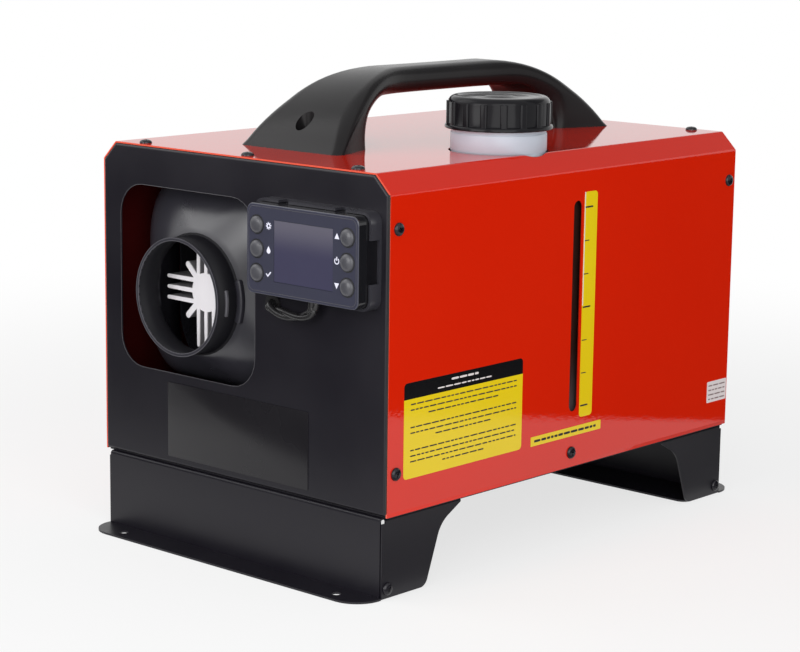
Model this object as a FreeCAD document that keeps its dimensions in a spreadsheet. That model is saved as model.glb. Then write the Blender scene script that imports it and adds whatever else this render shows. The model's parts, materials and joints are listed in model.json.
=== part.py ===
import FreeCAD, Part
import Sketcher
import math
import os
from types import SimpleNamespace
from FreeCAD import Vector

# Indirect-fired diesel heater in a portable box, in millimetres.
# Z is up, the front with the hot-air outlet faces -Y, the fuel sight slot is on the +X side,
# and the origin is on the ground under the middle of the box.

doc = FreeCAD.newDocument("diesel_heater")

# Driving dimensions

SIZES = {
    # Sheet-metal box
    "casing_width": 300.0,
    "casing_height": 241.5,
    "casing_chamfer": 14.0,
    "sheet": 1.2,
    "bend_radius": 2.4,
    "seat_gap": 0.2,
    "panel_proud": 1.0,
    "panel_drop": 1.8,
    "panel_return": 16.0,
    # Screws of the box
    "screw_head_radius": 4.8,
    "screw_head_height": 2.6,
    "screw_radius": 2.0,
    "screw_length": 4.6,
    "screw_hole_gap": 0.3,
    "screw_inset": 9.5,
    "top_screw_spacing": 222.0,
    "side_screw_high": 203.0,
    "side_screw_low": 28.0,
    "floor_screw_height": 8.6,
    # Floor and feet
    "foot_height": 64.0,
    "floor_drop": 4.0,
    "floor_setback": 3.5,
    "floor_flange": 22.0,
    "foot_inset": 4.0,
    "foot_top_depth": 86.0,
    "foot_waist_depth": 64.0,
    "foot_waist_height": 45.0,
    "foot_bottom_depth": 48.0,
    "foot_corner_radius": 8.0,
    "foot_waist_radius": 24.0,
    "foot_seam": 0.5,
    "foot_notch": 4.0,
    "foot_tip_height": 3.0,
    "base_thickness": 1.5,
    "base_flange": 24.0,
    "base_flange_radius": 22.0,
    "base_hole_radius": 3.5,
    "base_hole_spacing": 229.0,
    "base_hole_inset": 13.0,
    "base_tab_height": 15.0,
    "base_tab_length": 30.0,
    "leg_screw_height": 7.5,
    "leg_screw_inset": 6.5,
    "floor_bolt_spacing": 200.0,
    "floor_bolt_inset": 70.0,
    # Outlet opening in the front
    "opening_width": 147.0,
    "opening_height": 141.5,
    "opening_radius": 24.0,
    "heater_offset": 56.0,
    "opening_centre_height": 140.0,
    # Sight slot and filler
    "slot_width": 10.0,
    "slot_bottom": 41.0,
    "slot_top": 204.5,
    "slot_shift": 1.0,
    "filler_inset": 50.0,
    "filler_shift": 35.0,
    "neck_radius": 36.0,
    "neck_rise": 36.5,
    "filler_hole_gap": 2.0,
    # Filler cap
    "cap_gap": 0.6,
    "cap_rim": 2.4,
    "cap_rim_height": 3.6,
    "cap_top_height": 41.5,
    "cap_bottom_height": 17.0,
    "cap_wall": 2.0,
    "cap_top_wall": 2.7,
    "cap_rib_width": 4.6,
    "cap_rib_depth": 1.3,
    "cap_edge_radius": 5.0,
    "seal_thickness": 1.7,
    # Fuel tank
    "tank_width": 120.0,
    "tank_front_gap": 85.5,
    "tank_rear_gap": 75.5,
    "tank_side_gap": 0.6,
    "tank_top_gap": 12.0,
    "tank_radius": 18.0,
    "tank_wall": 3.0,
    "tank_pad": 4.0,
    "tank_bracket_height": 42.0,
    "tank_bracket_foot": 18.0,
    "tank_bracket_length": 180.0,
    "tank_bracket_shift": 26.0,
    # Fuel line
    "hose_radius": 3.0,
    "nipple_radius": 4.0,
    "nipple_length": 12.0,
    "fuel_line_height": 24.0,
    "fuel_line_offset": 29.0,
    "filter_radius": 11.0,
    "filter_length": 46.0,
    "pump_radius": 15.0,
    "pump_length": 62.0,
    "fuel_neck_radius": 4.0,
    "fuel_neck_length": 9.0,
    "nipple_inset": 5.0,
    "fuel_inlet_inset": 12.0,
    "fuel_inlet_drop": 8.0,
    "clip_thickness": 2.0,
    "clip_width": 14.0,
    # Carry handle
    "handle_length": 332.0,
    "handle_side_shift": 5.0,
    "handle_end_shift": 10.0,
    "handle_foot_width": 108.0,
    "handle_grip_width": 34.0,
    "handle_height": 57.5,
    "handle_gap": 37.0,
    "handle_foot_length": 44.0,
    "handle_shoulder": 49.0,
    "handle_shoulder_radius": 132.0,
    "handle_arch_radius": 34.0,
    "handle_arch_lean": 5.0,
    "handle_neck_length": 104.0,
    "handle_neck_radius": 80.0,
    "handle_edge_radius": 7.0,
    "handle_bore_radius": 7.0,
    "handle_bore_inset": 19.0,
    "handle_bore_floor": 7.0,
    # Heater body
    "heater_height": 131.0,
    "shell_width": 148.0,
    "shell_height": 150.0,
    "shell_radius": 48.0,
    "shell_wall": 2.5,
    "shell_front": 61.5,
    "shell_length": 300.0,
    "shell_rear": 61.5,
    "shell_split": 0.2,
    "hood_setback": 10.0,
    "hood_edge_radius": 28.0,
    "spout_radius": 45.0,
    "spout_wall": 2.2,
    "spout_proud": 10.0,
    "cover_length": 28.0,
    "cover_edge_radius": 14.0,
    "cover_opening_radius": 44.0,
    "cover_hub_radius": 14.0,
    "cover_spoke_width": 4.0,
    # Heat exchanger
    "fin_setback": 10.0,
    "fin_reach": 43.0,
    "fin_thickness": 3.8,
    "fin_tip": 2.8,
    "fin_pitch": 8.3,
    "fin_diagonal_reach": 30.0,
    "fin_diagonal_thickness": 4.8,
    "fin_end_gap": 25.0,
    "hub_radius": 15.0,
    "hub_length": 42.0,
    "chamber_radius": 33.0,
    "chamber_wall": 3.0,
    "exchanger_flange_radius": 46.0,
    "exchanger_flange": 5.0,
    "exchanger_tail": 50.0,
    "exchanger_foot_width": 44.0,
    "exchanger_foot_length": 78.0,
    "burner_radius": 23.0,
    "burner_wall": 1.5,
    "burner_length": 130.0,
    # Blower
    "blower_case_length": 22.0,
    "blower_case_wall": 3.0,
    "impeller_radius": 37.0,
    "impeller_width": 10.0,
    "impeller_hub_radius": 9.0,
    "motor_radius": 27.0,
    "motor_length": 28.0,
    "shaft_radius": 3.0,
    "shaft_gap": 0.08,
    "running_gap": 2.5,
    "fan_radius": 52.0,
    "fan_hub_radius": 21.0,
    "fan_width": 15.0,
    "blade_thickness": 2.0,
    "blade_angle": 35.0,
    # Pipes under the heater
    "gasket": 2.0,
    "gasket_margin": 5.0,
    "bridge_sheet": 2.0,
    "bridge_width": 100.0,
    "bridge_foot": 12.0,
    "bridge_length": 150.0,
    "stub_radius": 12.0,
    "stub_wall": 1.2,
    "stub_drop": 26.0,
    "stub_spacing": 44.0,
    "stub_hole_gap": 1.0,
    "stub_collar": 2.0,
    # Small electrical pieces in the heater
    "glow_plug_radius": 4.5,
    "glow_plug_rise": 14.0,
    "sensor_radius": 4.0,
    "sensor_height": 8.0,
    "board_box_width": 46.0,
    "board_box_length": 74.0,
    "board_box_height": 10.0,
    # Power supply and inlets
    "supply_width": 108.0,
    "supply_height": 138.0,
    "supply_depth": 40.0,
    "supply_gap": 8.0,
    "inlet_width": 27.0,
    "inlet_height": 20.0,
    "inlet_depth": 22.0,
    "inlet_rim": 5.0,
    "inlet_rim_thickness": 2.5,
    "inlet_side": 70.0,
    "inlet_level": 182.0,
    "socket_radius": 6.0,
    "socket_depth": 16.0,
    "socket_rim": 3.0,
    "socket_spacing": 42.0,
    "intake_slot_length": 108.0,
    "intake_slot_width": 5.0,
    "intake_slot_pitch": 11.0,
    # Hand controller
    "controller_width": 110.0,
    "controller_height": 65.5,
    "controller_shift": 1.75,
    "controller_level": 180.5,
    "controller_depth": 21.0,
    "controller_radius": 6.0,
    "controller_wall": 1.6,
    "controller_back_depth": 10.0,
    "bracket_sheet": 2.0,
    "bracket_claw_depth": 9.0,
    "bracket_side_gap": 31.0,
    "bracket_top_gap": 40.0,
    "screen_width": 58.0,
    "screen_height": 44.5,
    "screen_shift": 1.5,
    "window_thickness": 1.2,
    "window_gap": 0.2,
    "circuit_thickness": 1.6,
    "circuit_margin": 2.5,
    "button_radius": 6.2,
    "button_gap": 0.4,
    "button_column": 89.0,
    "button_pitch": 17.5,
    "button_proud": 2.0,
    "button_flange": 1.0,
    "button_travel": 1.0,
    "grommet_radius": 5.0,
    "grommet_lip": 2.0,
    "grommet_gap": 0.4,
    "cable_radius": 2.8,
    "cable_end_shift": 3.5,
    "cable_sag": 19.0,
    "cable_turn": 5.0,
}


class Size:
    """A length and the sheet expression that gives it, so that sums of sizes stay bound."""

    def __init__(self, value, text):
        self.value = float(value)
        self.text = text

    def __add__(self, other):
        return joined(self, "+", other, self.value + number(other))

    def __radd__(self, other):
        return joined(other, "+", self, number(other) + self.value)

    def __sub__(self, other):
        return joined(self, "-", other, self.value - number(other))

    def __rsub__(self, other):
        return joined(other, "-", self, number(other) - self.value)

    def __mul__(self, other):
        return joined(self, "*", other, self.value * number(other))

    __rmul__ = __mul__

    def __truediv__(self, other):
        return joined(self, "/", other, self.value / number(other))

    def __neg__(self):
        return joined(0, "-", self, -self.value)


def number(size):
    return size.value if isinstance(size, Size) else float(size)


def words(size):
    return size.text if isinstance(size, Size) else f"{float(size):.9g}"


def joined(left, sign, right, value):
    return Size(value, f"({words(left)} {sign} {words(right)})")


def make_sheet():
    """Writes the driving dimensions to the sheet and returns them by name."""
    sheet = doc.addObject("Spreadsheet::Sheet", "sizes")
    named = {}
    for row, (alias, value) in enumerate(SIZES.items(), start=1):
        sheet.set(f"A{row}", alias)
        sheet.set(f"B{row}", str(value))
        sheet.setAlias(f"B{row}", alias)
        named[alias] = Size(value, f"sizes.{alias}")
    doc.recompute()
    return SimpleNamespace(**named)


d = make_sheet()

# Places that several pieces share

half_width = d.casing_width / 2
casing_depth = d.shell_front + d.shell_length + d.shell_rear
front = -casing_depth / 2
rear = casing_depth / 2
casing_bottom = d.foot_height
casing_top = d.foot_height + d.casing_height
lining = half_width - d.sheet - d.seat_gap
floor_bottom = d.foot_height - d.floor_drop
floor_top = floor_bottom + d.sheet
foot_half = half_width - d.foot_inset
screw_hole = d.screw_radius + d.screw_hole_gap
heater_x = -d.heater_offset
heater_z = d.foot_height + d.heater_height
hood_face = front + d.hood_setback
shell_start = front + d.shell_front
shell_end = shell_start + d.shell_length
shell_bottom = heater_z - d.shell_height / 2
exchanger_front = hood_face + d.fin_setback
tank_right = half_width - d.screw_length - d.tank_side_gap
tank_left = tank_right - d.tank_width
tank_front = front + d.tank_front_gap
tank_rear = rear - d.tank_rear_gap
tank_length = tank_rear - tank_front
tank_bottom = floor_top + d.tank_pad
tank_top = casing_top - d.tank_top_gap
filler_x = half_width - d.filler_inset
filler_y = -d.filler_shift
neck_top = casing_top + d.neck_rise
controller_x = (heater_x + d.opening_width / 2 + half_width) / 2 + d.controller_shift
controller_z = d.foot_height + d.controller_level
controller_front = front - d.controller_depth

# Drawing helpers


def bind(feature, path, size):
    """Sets a property of a feature from a size, and keeps it bound to the sheet."""
    feature.setExpression(path, words(size))


def make_body(label):
    body = doc.addObject("PartDesign::Body", label)
    body.Label = label
    return body


def origin_feature(body, role):
    for feature in body.Origin.OriginFeatures:
        if feature.Role == role:
            return feature
    raise ValueError(role)


def make_sketch(body, plane, offset):
    """Opens a sketch on an origin plane, moved along that plane's world axis by offset."""
    sketch = body.newObject("Sketcher::SketchObject", f"{body.Label}_sketch")
    sketch.AttachmentSupport = [(origin_feature(body, f"{plane}_Plane"), "")]
    sketch.MapMode = "FlatFace"
    lift = -offset if plane == "XZ" else offset
    bind(sketch, "AttachmentOffset.Base.z", lift)
    return sketch


def fix(sketch, kind, places, size):
    """Adds one dimension to a sketch and binds it."""
    row = sketch.addConstraint(Sketcher.Constraint(kind, *places, number(size)))
    bind(sketch, f"Constraints[{row}]", size)


def fix_point(sketch, piece, end, x, y):
    fix(sketch, "DistanceX", (-1, 1, piece, end), x)
    fix(sketch, "DistanceY", (-1, 1, piece, end), y)


def circle(x, y, radius):
    """Draws a circle."""

    def draw(sketch):
        centre = Vector(number(x), number(y), 0)
        ring = sketch.addGeometry(Part.Circle(centre, Vector(0, 0, 1), number(radius)))
        fix(sketch, "Radius", (ring,), radius)
        fix_point(sketch, ring, 3, x, y)

    return draw


def corner_arc(before, here, after, radius):
    """Start, middle and end of the arc that rounds the corner at here."""
    back = (before - here).normalize()
    ahead = (after - here).normalize()
    half_angle = back.getAngle(ahead) / 2
    run = radius / math.tan(half_angle)
    inward = (back + ahead).normalize()
    centre = here + inward * (radius / math.sin(half_angle))
    return here + back * run, centre - inward * radius, here + ahead * run


def add_arc(sketch, start, middle, end):
    """Adds an arc, always counter-clockwise, and says which of its ends lies at start."""
    forward = (middle - start).cross(end - middle).z > 0
    ends = (start, middle, end) if forward else (end, middle, start)
    arc = sketch.addGeometry(Part.Arc(*ends))
    return (arc, 1, 2) if forward else (arc, 2, 1)


def outline(*corners):
    """Draws a closed outline through corners (x, y) or (x, y, radius)."""

    def draw(sketch):
        places = [Vector(number(corner[0]), number(corner[1]), 0) for corner in corners]
        count = len(corners)
        starts, ends, arcs = [], [], []
        for index, corner in enumerate(corners):
            here = places[index]
            if len(corner) == 2:
                starts.append(here)
                ends.append(here)
                arcs.append(None)
                continue
            arc = corner_arc(places[index - 1], here, places[(index + 1) % count], number(corner[2]))
            starts.append(arc[0])
            ends.append(arc[2])
            arcs.append(add_arc(sketch, *arc))
        lines = []
        for index in range(count):
            line = Part.LineSegment(ends[index], starts[(index + 1) % count])
            lines.append(sketch.addGeometry(line))
        for index, corner in enumerate(corners):
            before, after = lines[index - 1], lines[index]
            if arcs[index] is None:
                sketch.addConstraint(Sketcher.Constraint("Coincident", before, 2, after, 1))
                fix_point(sketch, after, 1, corner[0], corner[1])
                continue
            arc, near, far = arcs[index]
            tip = sketch.addGeometry(Part.Point(places[index]), True)
            sketch.addConstraint(Sketcher.Constraint("Tangent", before, 2, arc, near))
            sketch.addConstraint(Sketcher.Constraint("Tangent", after, 1, arc, far))
            sketch.addConstraint(Sketcher.Constraint("PointOnObject", tip, 1, before))
            sketch.addConstraint(Sketcher.Constraint("PointOnObject", tip, 1, after))
            fix(sketch, "Radius", (arc,), corner[2])
            fix_point(sketch, tip, 1, corner[0], corner[1])

    return draw


def rectangle(x, y, width, height, radius=None):
    """Draws a rectangle round its centre, with rounded corners where a radius is given."""
    right, left = x + width / 2, x - width / 2
    high, low = y + height / 2, y - height / 2
    extra = () if radius is None else (radius,)
    return outline((left, low, *extra), (right, low, *extra), (right, high, *extra), (left, high, *extra))


def slot(x, low, high, radius):
    """Draws an upright slot with round ends, from low to high."""

    def draw(sketch):
        left, middle, right = number(x - radius), number(x), number(x + radius)
        bottom, top = number(low + radius), number(high - radius)
        crown, root = Vector(middle, number(high), 0), Vector(middle, number(low), 0)
        high_left, high_right = Vector(left, top, 0), Vector(right, top, 0)
        low_left, low_right = Vector(left, bottom, 0), Vector(right, bottom, 0)
        upper = sketch.addGeometry(Part.Arc(high_right, crown, high_left))
        left_side = sketch.addGeometry(Part.LineSegment(high_left, low_left))
        lower = sketch.addGeometry(Part.Arc(low_left, root, low_right))
        right_side = sketch.addGeometry(Part.LineSegment(low_right, high_right))
        loop = [upper, left_side, lower, right_side]
        for index, piece in enumerate(loop):
            sketch.addConstraint(Sketcher.Constraint("Tangent", loop[index - 1], 2, piece, 1))
        fix(sketch, "Radius", (upper,), radius)
        fix_point(sketch, upper, 3, x, high - radius)
        fix_point(sketch, lower, 3, x, low + radius)

    return draw


def extrude(body, kind, plane, start, end, drawings):
    sketch = make_sketch(body, plane, start)
    for draw in drawings:
        draw(sketch)
    feature = body.newObject(f"PartDesign::{kind}", f"{body.Label}_{kind.lower()}")
    feature.Profile = sketch
    feature.Reversed = (plane == "XZ") == (kind == "Pad")
    bind(feature, "Length", end - start)
    sketch.Visibility = False
    return feature


def add(body, plane, start, end, *drawings):
    """Adds material from start to end along the plane's axis."""
    return extrude(body, "Pad", plane, start, end, drawings)


def cut(body, plane, start, end, *drawings):
    """Removes material from start to end along the plane's axis."""
    return extrude(body, "Pocket", plane, start, end, drawings)


def turn(body, *corners):
    """Adds a solid of revolution about Z from its half section (radius, height)."""
    sketch = make_sketch(body, "XZ", 0)
    outline(*corners)(sketch)
    feature = body.newObject("PartDesign::Revolution", f"{body.Label}_turn")
    feature.Profile = sketch
    feature.ReferenceAxis = (sketch, ["V_Axis"])
    feature.Angle = 360
    return feature


def ring_pattern(body, features, count, role="Z_Axis"):
    """Repeats features round an axis of the body."""
    pattern = body.newObject("PartDesign::PolarPattern", f"{body.Label}_ring")
    pattern.Originals = features
    pattern.Axis = (origin_feature(body, role), [""])
    pattern.Angle = 360
    pattern.Occurrences = count
    body.Tip = pattern
    return pattern


def row_pattern(body, feature, role, length, count):
    """Repeats a feature along an axis of the body."""
    pattern = body.newObject("PartDesign::LinearPattern", f"{body.Label}_row")
    pattern.Originals = [feature]
    pattern.Direction = (origin_feature(body, role), [""])
    bind(pattern, "Length", length)
    pattern.Occurrences = count
    body.Tip = pattern
    return pattern


def round_edges(body, radius, wanted):
    """Rounds the edges of the body whose shape passes the test wanted."""
    doc.recompute()
    tip = body.Tip
    names = [f"Edge{row}" for row, edge in enumerate(tip.Shape.Edges, start=1) if wanted(edge)]
    feature = body.newObject("PartDesign::Fillet", f"{body.Label}_fillet")
    feature.Base = (tip, names)
    bind(feature, "Radius", radius)
    return feature


def hollow(body, wall, axis, place):
    """Hollows the body to a wall, open at its face in the plane axis = place."""
    doc.recompute()
    tip = body.Tip
    faces = enumerate(tip.Shape.Faces, start=1)
    mouth = [f"Face{row}" for row, face in faces if lies_at(face, axis, place)]
    feature = body.newObject("PartDesign::Thickness", f"{body.Label}_shell")
    feature.Base = (tip, mouth)
    bind(feature, "Value", wall)
    feature.Reversed = True
    return feature


def lies_at(piece, axis, place):
    """True where the whole edge or face lies in the plane axis = place."""
    box = piece.BoundBox
    low = getattr(box, f"{axis}Min")
    high = getattr(box, f"{axis}Max")
    return abs(low - number(place)) < 0.001 and abs(high - number(place)) < 0.001


def put(feature, x, y, z, axis=None, angle=0.0):
    """Places a piece, with its place bound to sizes."""
    if axis is not None:
        feature.Placement = FreeCAD.Placement(Vector(), FreeCAD.Rotation(axis, angle))
    bind(feature, "Placement.Base.x", x)
    bind(feature, "Placement.Base.y", y)
    bind(feature, "Placement.Base.z", z)


# Box


def wrap_outline():
    """Section of the folded cover: outer line up and over, inner line back."""
    c = d.casing_chamfer
    corner_shift = math.tan(math.radians(22.5)) * d.sheet
    outer, inner = half_width, half_width - d.sheet
    shoulder = casing_top - c
    inner_shoulder = shoulder - corner_shift
    inner_top = casing_top - d.sheet
    inner_edge = outer - c - corner_shift
    bend = d.bend_radius
    inner_bend = d.bend_radius - d.sheet
    return outline(
        (-outer, casing_bottom),
        (-outer, shoulder, bend),
        (c - outer, casing_top, bend),
        (outer - c, casing_top, bend),
        (outer, shoulder, bend),
        (outer, casing_bottom),
        (inner, casing_bottom),
        (inner, inner_shoulder, inner_bend),
        (inner_edge, inner_top, inner_bend),
        (-inner_edge, inner_top, inner_bend),
        (-inner, inner_shoulder, inner_bend),
        (-inner, casing_bottom),
    )


def side_screw_places():
    """Places (y, z) of the screws on each side of the cover."""
    high = casing_bottom + d.side_screw_high
    low = casing_bottom + d.side_screw_low
    return [
        (front + d.screw_inset, high),
        (front + d.screw_inset, low),
        (rear - d.screw_inset, high),
        (0, casing_bottom + d.floor_screw_height),
    ]


def top_screw_columns():
    """Where the screws on top of the cover stand along x: three at each end."""
    side = d.top_screw_spacing / 2
    return -side, 0 * side, side


def top_screw_places():
    """Places (x, y) of the screws on top of the cover."""
    places = []
    for x in top_screw_columns():
        for y in (front + d.screw_inset, rear - d.screw_inset):
            places.append((x, y))
    return places


def handle_screw_places():
    """Places (x, y) of the two handle screws."""
    reach = d.handle_length / 2 - d.handle_bore_inset
    x = -d.handle_side_shift
    return [(x, d.handle_end_shift - reach), (x, d.handle_end_shift + reach)]


def casing_wrap():
    body = make_body("casing_wrap")
    add(body, "XZ", front + d.panel_proud, rear - d.panel_proud, wrap_outline())
    holes = [circle(x, y, screw_hole) for x, y in top_screw_places() + handle_screw_places()]
    filler_hole = circle(filler_x, filler_y, d.neck_radius + d.filler_hole_gap)
    cut(body, "XY", casing_top - d.casing_chamfer, casing_top + d.sheet, filler_hole, *holes)
    side_holes = [circle(y, z, screw_hole) for y, z in side_screw_places()]
    cut(body, "YZ", -half_width - d.sheet, half_width + d.sheet, *side_holes)
    sight = slot(d.slot_shift, casing_bottom + d.slot_bottom, casing_bottom + d.slot_top, d.slot_width / 2)
    cut(body, "YZ", half_width - d.casing_chamfer, half_width + d.sheet, sight)
    return body


def panel_outline(inset):
    """Outline of an end panel inside the cover, drawn in by inset."""
    corner_shift = math.tan(math.radians(22.5)) * (d.sheet + d.seat_gap + inset)
    side = lining - inset
    high = casing_top - d.sheet - d.seat_gap - inset
    shoulder = casing_top - d.casing_chamfer - corner_shift
    edge = half_width - d.casing_chamfer - corner_shift
    low = casing_bottom - d.panel_drop + inset
    return outline(
        (-side, low), (side, low), (side, shoulder), (edge, high), (-edge, high), (-side, shoulder)
    )


def end_panel(label, face, inward):
    """A folded panel with its face at y = face and a return all round that points inward."""
    body = make_body(label)
    back = face + inward * d.panel_return
    skin = face + inward * d.sheet
    first, last = (face, back) if inward > 0 else (back, face)
    add(body, "XZ", first, last, panel_outline(0))
    first, last = (skin, back) if inward > 0 else (back, skin)
    cut(body, "XZ", first, last, panel_outline(d.sheet))
    round_edges(body, d.bend_radius - d.sheet / 2, lambda edge: lies_at(edge, "Y", face))
    screw_y = face + inward * d.screw_inset
    top_holes = [circle(x, screw_y, screw_hole) for x in top_screw_columns()]
    cut(body, "XY", casing_top - d.casing_chamfer, casing_top, *top_holes)
    heights = (d.side_screw_high, d.side_screw_low) if inward > 0 else (d.side_screw_high,)
    side_holes = [circle(screw_y, casing_bottom + height, screw_hole) for height in heights]
    cut(body, "YZ", -half_width, half_width, *side_holes)
    return body


def opening_centre():
    return heater_x, casing_bottom + d.opening_centre_height


def bracket_room():
    """Gap between the controller and the claws round it."""
    return d.seat_gap * 1.5


def bracket_low():
    """Height of the lower edge of the controller's bracket."""
    return controller_z - d.controller_height / 2 - bracket_room() - d.bracket_sheet


def grommet_place():
    """Place (x, z) of the cable hole below the left end of the controller."""
    x = controller_x - d.controller_width / 2 + d.grommet_radius + d.grommet_lip
    z = bracket_low() - d.grommet_gap - d.grommet_lip - d.grommet_radius
    return x, z


def bracket_screw_places():
    """Places (x, z) of the two screws of the controller's bracket."""
    reach = d.controller_width / 4
    return [(controller_x - reach, controller_z), (controller_x + reach, controller_z)]


def front_panel():
    body = end_panel("front_panel", front, 1)
    x, z = opening_centre()
    window = rectangle(x, z, d.opening_width, d.opening_height, d.opening_radius)
    holes = [circle(*place, screw_hole) for place in bracket_screw_places()]
    grommet = circle(*grommet_place(), d.grommet_radius)
    cut(body, "XZ", front, front + d.sheet, window, grommet, *holes)
    return body


def inlet_place():
    return d.inlet_side, casing_bottom + d.inlet_level


def socket_place():
    x, z = inlet_place()
    return x + d.socket_spacing, z


def rear_panel():
    body = end_panel("rear_panel", rear, -1)
    skin = rear - d.sheet
    x, z = inlet_place()
    inlet = rectangle(x, z, d.inlet_width + 2 * d.seat_gap, d.inlet_height + 2 * d.seat_gap)
    socket = circle(*socket_place(), d.socket_radius + d.seat_gap)
    cut(body, "XZ", skin, rear, inlet, socket)
    count = 10
    span = (count - 1) * d.intake_slot_pitch
    first = rectangle(
        heater_x,
        heater_z - span / 2,
        d.intake_slot_length,
        d.intake_slot_width,
        d.intake_slot_width * 0.49,
    )
    louvre = cut(body, "XZ", skin, rear, first)
    row_pattern(body, louvre, "Z_Axis", span, count)
    return body


def stub_places():
    """Places (x, y) of the exhaust and combustion-air pipes."""
    middle = exchanger_foot_y()
    return [(heater_x, middle - d.stub_spacing / 2), (heater_x, middle + d.stub_spacing / 2)]


def floor_bolt_places():
    """Places (x, y) of the bolts that hold the feet to the floor."""
    side = d.floor_bolt_spacing / 2
    places = []
    for x in (-side, side):
        for y in (front + d.floor_bolt_inset, rear - d.floor_bolt_inset):
            places.append((x, y))
    return places


def floor_pan():
    body = make_body("floor_pan")
    start, end = front + d.floor_setback, rear - d.floor_setback
    plate = rectangle(0, 0, 2 * lining, end - start)
    add(body, "XY", floor_bottom, floor_top, plate)
    flange_start = front + d.panel_return + d.sheet
    flange = rectangle(
        0,
        floor_bottom + d.floor_flange / 2,
        -2 * flange_start,
        d.floor_flange,
    )
    for inner, outer in ((-lining, d.sheet - lining), (lining - d.sheet, lining)):
        add(body, "YZ", inner, outer, flange)
    y, z = side_screw_places()[-1]
    cut(body, "YZ", -half_width, half_width, circle(y, z, screw_hole))
    stubs = [circle(x, y, d.stub_radius + d.stub_hole_gap) for x, y in stub_places()]
    bolts = [circle(x, y, screw_hole) for x, y in floor_bolt_places()]
    cut(body, "XY", floor_bottom, floor_top, *stubs, *bolts)
    return body


# Feet, drawn for the front and turned round for the rear


def leg_section():
    """Section of the folded foot: two legs and the plate between them, with bent corners."""
    outer, inner = foot_half, foot_half - d.sheet
    low, high = d.foot_seam, floor_bottom
    bend, inner_bend = d.bend_radius, d.bend_radius - d.sheet
    return outline(
        (-outer, low),
        (-outer, high, bend),
        (outer, high, bend),
        (outer, low),
        (inner, low),
        (inner, high - d.sheet, inner_bend),
        (-inner, high - d.sheet, inner_bend),
        (-inner, low),
    )


def arch_outline():
    """Side view (y, z) of what is cut away behind a leg, which is wide at the top and narrow below."""
    ground = front + d.foot_bottom_depth
    tip = front + d.foot_top_depth
    tip_height = floor_bottom - d.foot_tip_height
    return outline(
        (ground, d.foot_seam),
        (front + d.foot_waist_depth, d.foot_waist_height, d.foot_waist_radius),
        (tip, tip_height),
        (tip + d.sheet, tip_height),
        (tip + d.sheet, d.foot_seam),
    )


def wall_section():
    """Section (y, z) of the end wall, bent over at the top."""
    inner = front + d.sheet
    high = floor_bottom
    lap = front + 2 * d.foot_notch
    return outline(
        (front, d.base_thickness),
        (inner, d.base_thickness),
        (inner, high - d.sheet, d.bend_radius - d.sheet),
        (lap, high - d.sheet),
        (lap, high),
        (front, high, d.bend_radius),
    )


def foot(label, turned):
    body = make_body(label)
    add(body, "XZ", front + d.foot_seam, front + d.foot_top_depth, leg_section())
    relief = rectangle(front + d.foot_notch / 2, floor_bottom - d.foot_notch / 2, d.foot_notch, d.foot_notch)
    cut(body, "YZ", -half_width, half_width, relief)
    cut(body, "YZ", -half_width, half_width, arch_outline())
    heel = front + d.foot_bottom_depth
    round_edges(body, d.foot_corner_radius, lambda edge: is_cross_edge(edge, heel, d.foot_seam))
    inner_half = foot_half - d.sheet - d.foot_seam
    add(body, "YZ", -inner_half, inner_half, wall_section())
    y, z = leg_screw_place()
    cut(body, "YZ", -half_width, half_width, circle(y, z, screw_hole))
    bolts = [circle(x, y, screw_hole) for x, y in floor_bolt_places() if number(y) < 0]
    cut(body, "XY", floor_bottom - d.sheet, floor_bottom, *bolts)
    put(body, 0, 0, 0, Vector(0, 0, 1), 180.0 if turned else 0.0)
    return body


def is_cross_edge(edge, y, z):
    """True for an edge along X at the place (y, z)."""
    return lies_at(edge, "Y", y) and lies_at(edge, "Z", z)


def leg_screw_place():
    return front + d.leg_screw_inset, d.leg_screw_height


def foot_base(label, turned):
    """Ground plate of a foot: a rounded flange in front of the wall and tabs inside the legs."""
    body = make_body(label)
    edge = front - d.base_flange
    inner = front + d.foot_bottom_depth
    wide, narrow = foot_half, foot_half - d.sheet - d.seat_gap
    plate = outline(
        (-wide, edge, d.base_flange_radius),
        (wide, edge, d.base_flange_radius),
        (wide, front),
        (narrow, front),
        (narrow, inner, d.foot_corner_radius),
        (-narrow, inner, d.foot_corner_radius),
        (-narrow, front),
        (-wide, front),
    )
    hole_y, hole_x = front - d.base_hole_inset, d.base_hole_spacing / 2
    holes = [circle(x, hole_y, d.base_hole_radius) for x in (-hole_x, hole_x)]
    add(body, "XY", 0, d.base_thickness, plate, *holes)
    tab_start = front + d.sheet + d.seat_gap
    tab = rectangle(
        tab_start + d.base_tab_length / 2,
        d.base_tab_height / 2,
        d.base_tab_length,
        d.base_tab_height,
    )
    for start in (-narrow, narrow - d.base_thickness):
        add(body, "YZ", start, start + d.base_thickness, tab)
    y, z = leg_screw_place()
    cut(body, "YZ", -half_width, half_width, circle(y, z, screw_hole))
    put(body, 0, 0, 0, Vector(0, 0, 1), 180.0 if turned else 0.0)
    return body


# Screws


def screw_solid(length):
    """A pan-head screw along -Z with its seat at z = 0."""
    head = Part.makeCylinder(number(d.screw_head_radius), number(d.screw_head_height))
    top = [edge for edge in head.Edges if lies_at(edge, "Z", d.screw_head_height)]
    head = head.makeFillet(0.6 * number(d.screw_head_height), top)
    shank = Part.makeCylinder(number(d.screw_radius), number(length), Vector(), Vector(0, 0, -1))
    return head.fuse(shank).removeSplitter()


def screw_set(label, length, places):
    """Like screws in one piece of the model: places are (x, y, z, direction of the head)."""
    pieces = []
    solid = screw_solid(length)
    for x, y, z, direction in places:
        screw = doc.addObject("Part::Feature", f"{label}_one")
        screw.Shape = solid
        screw.Placement = FreeCAD.Placement(Vector(), FreeCAD.Rotation(Vector(0, 0, 1), direction))
        put(screw, x, y, z)
        pieces.append(screw)
    group = doc.addObject("Part::Compound", label)
    group.Links = pieces
    group.Label = label
    return group


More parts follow.
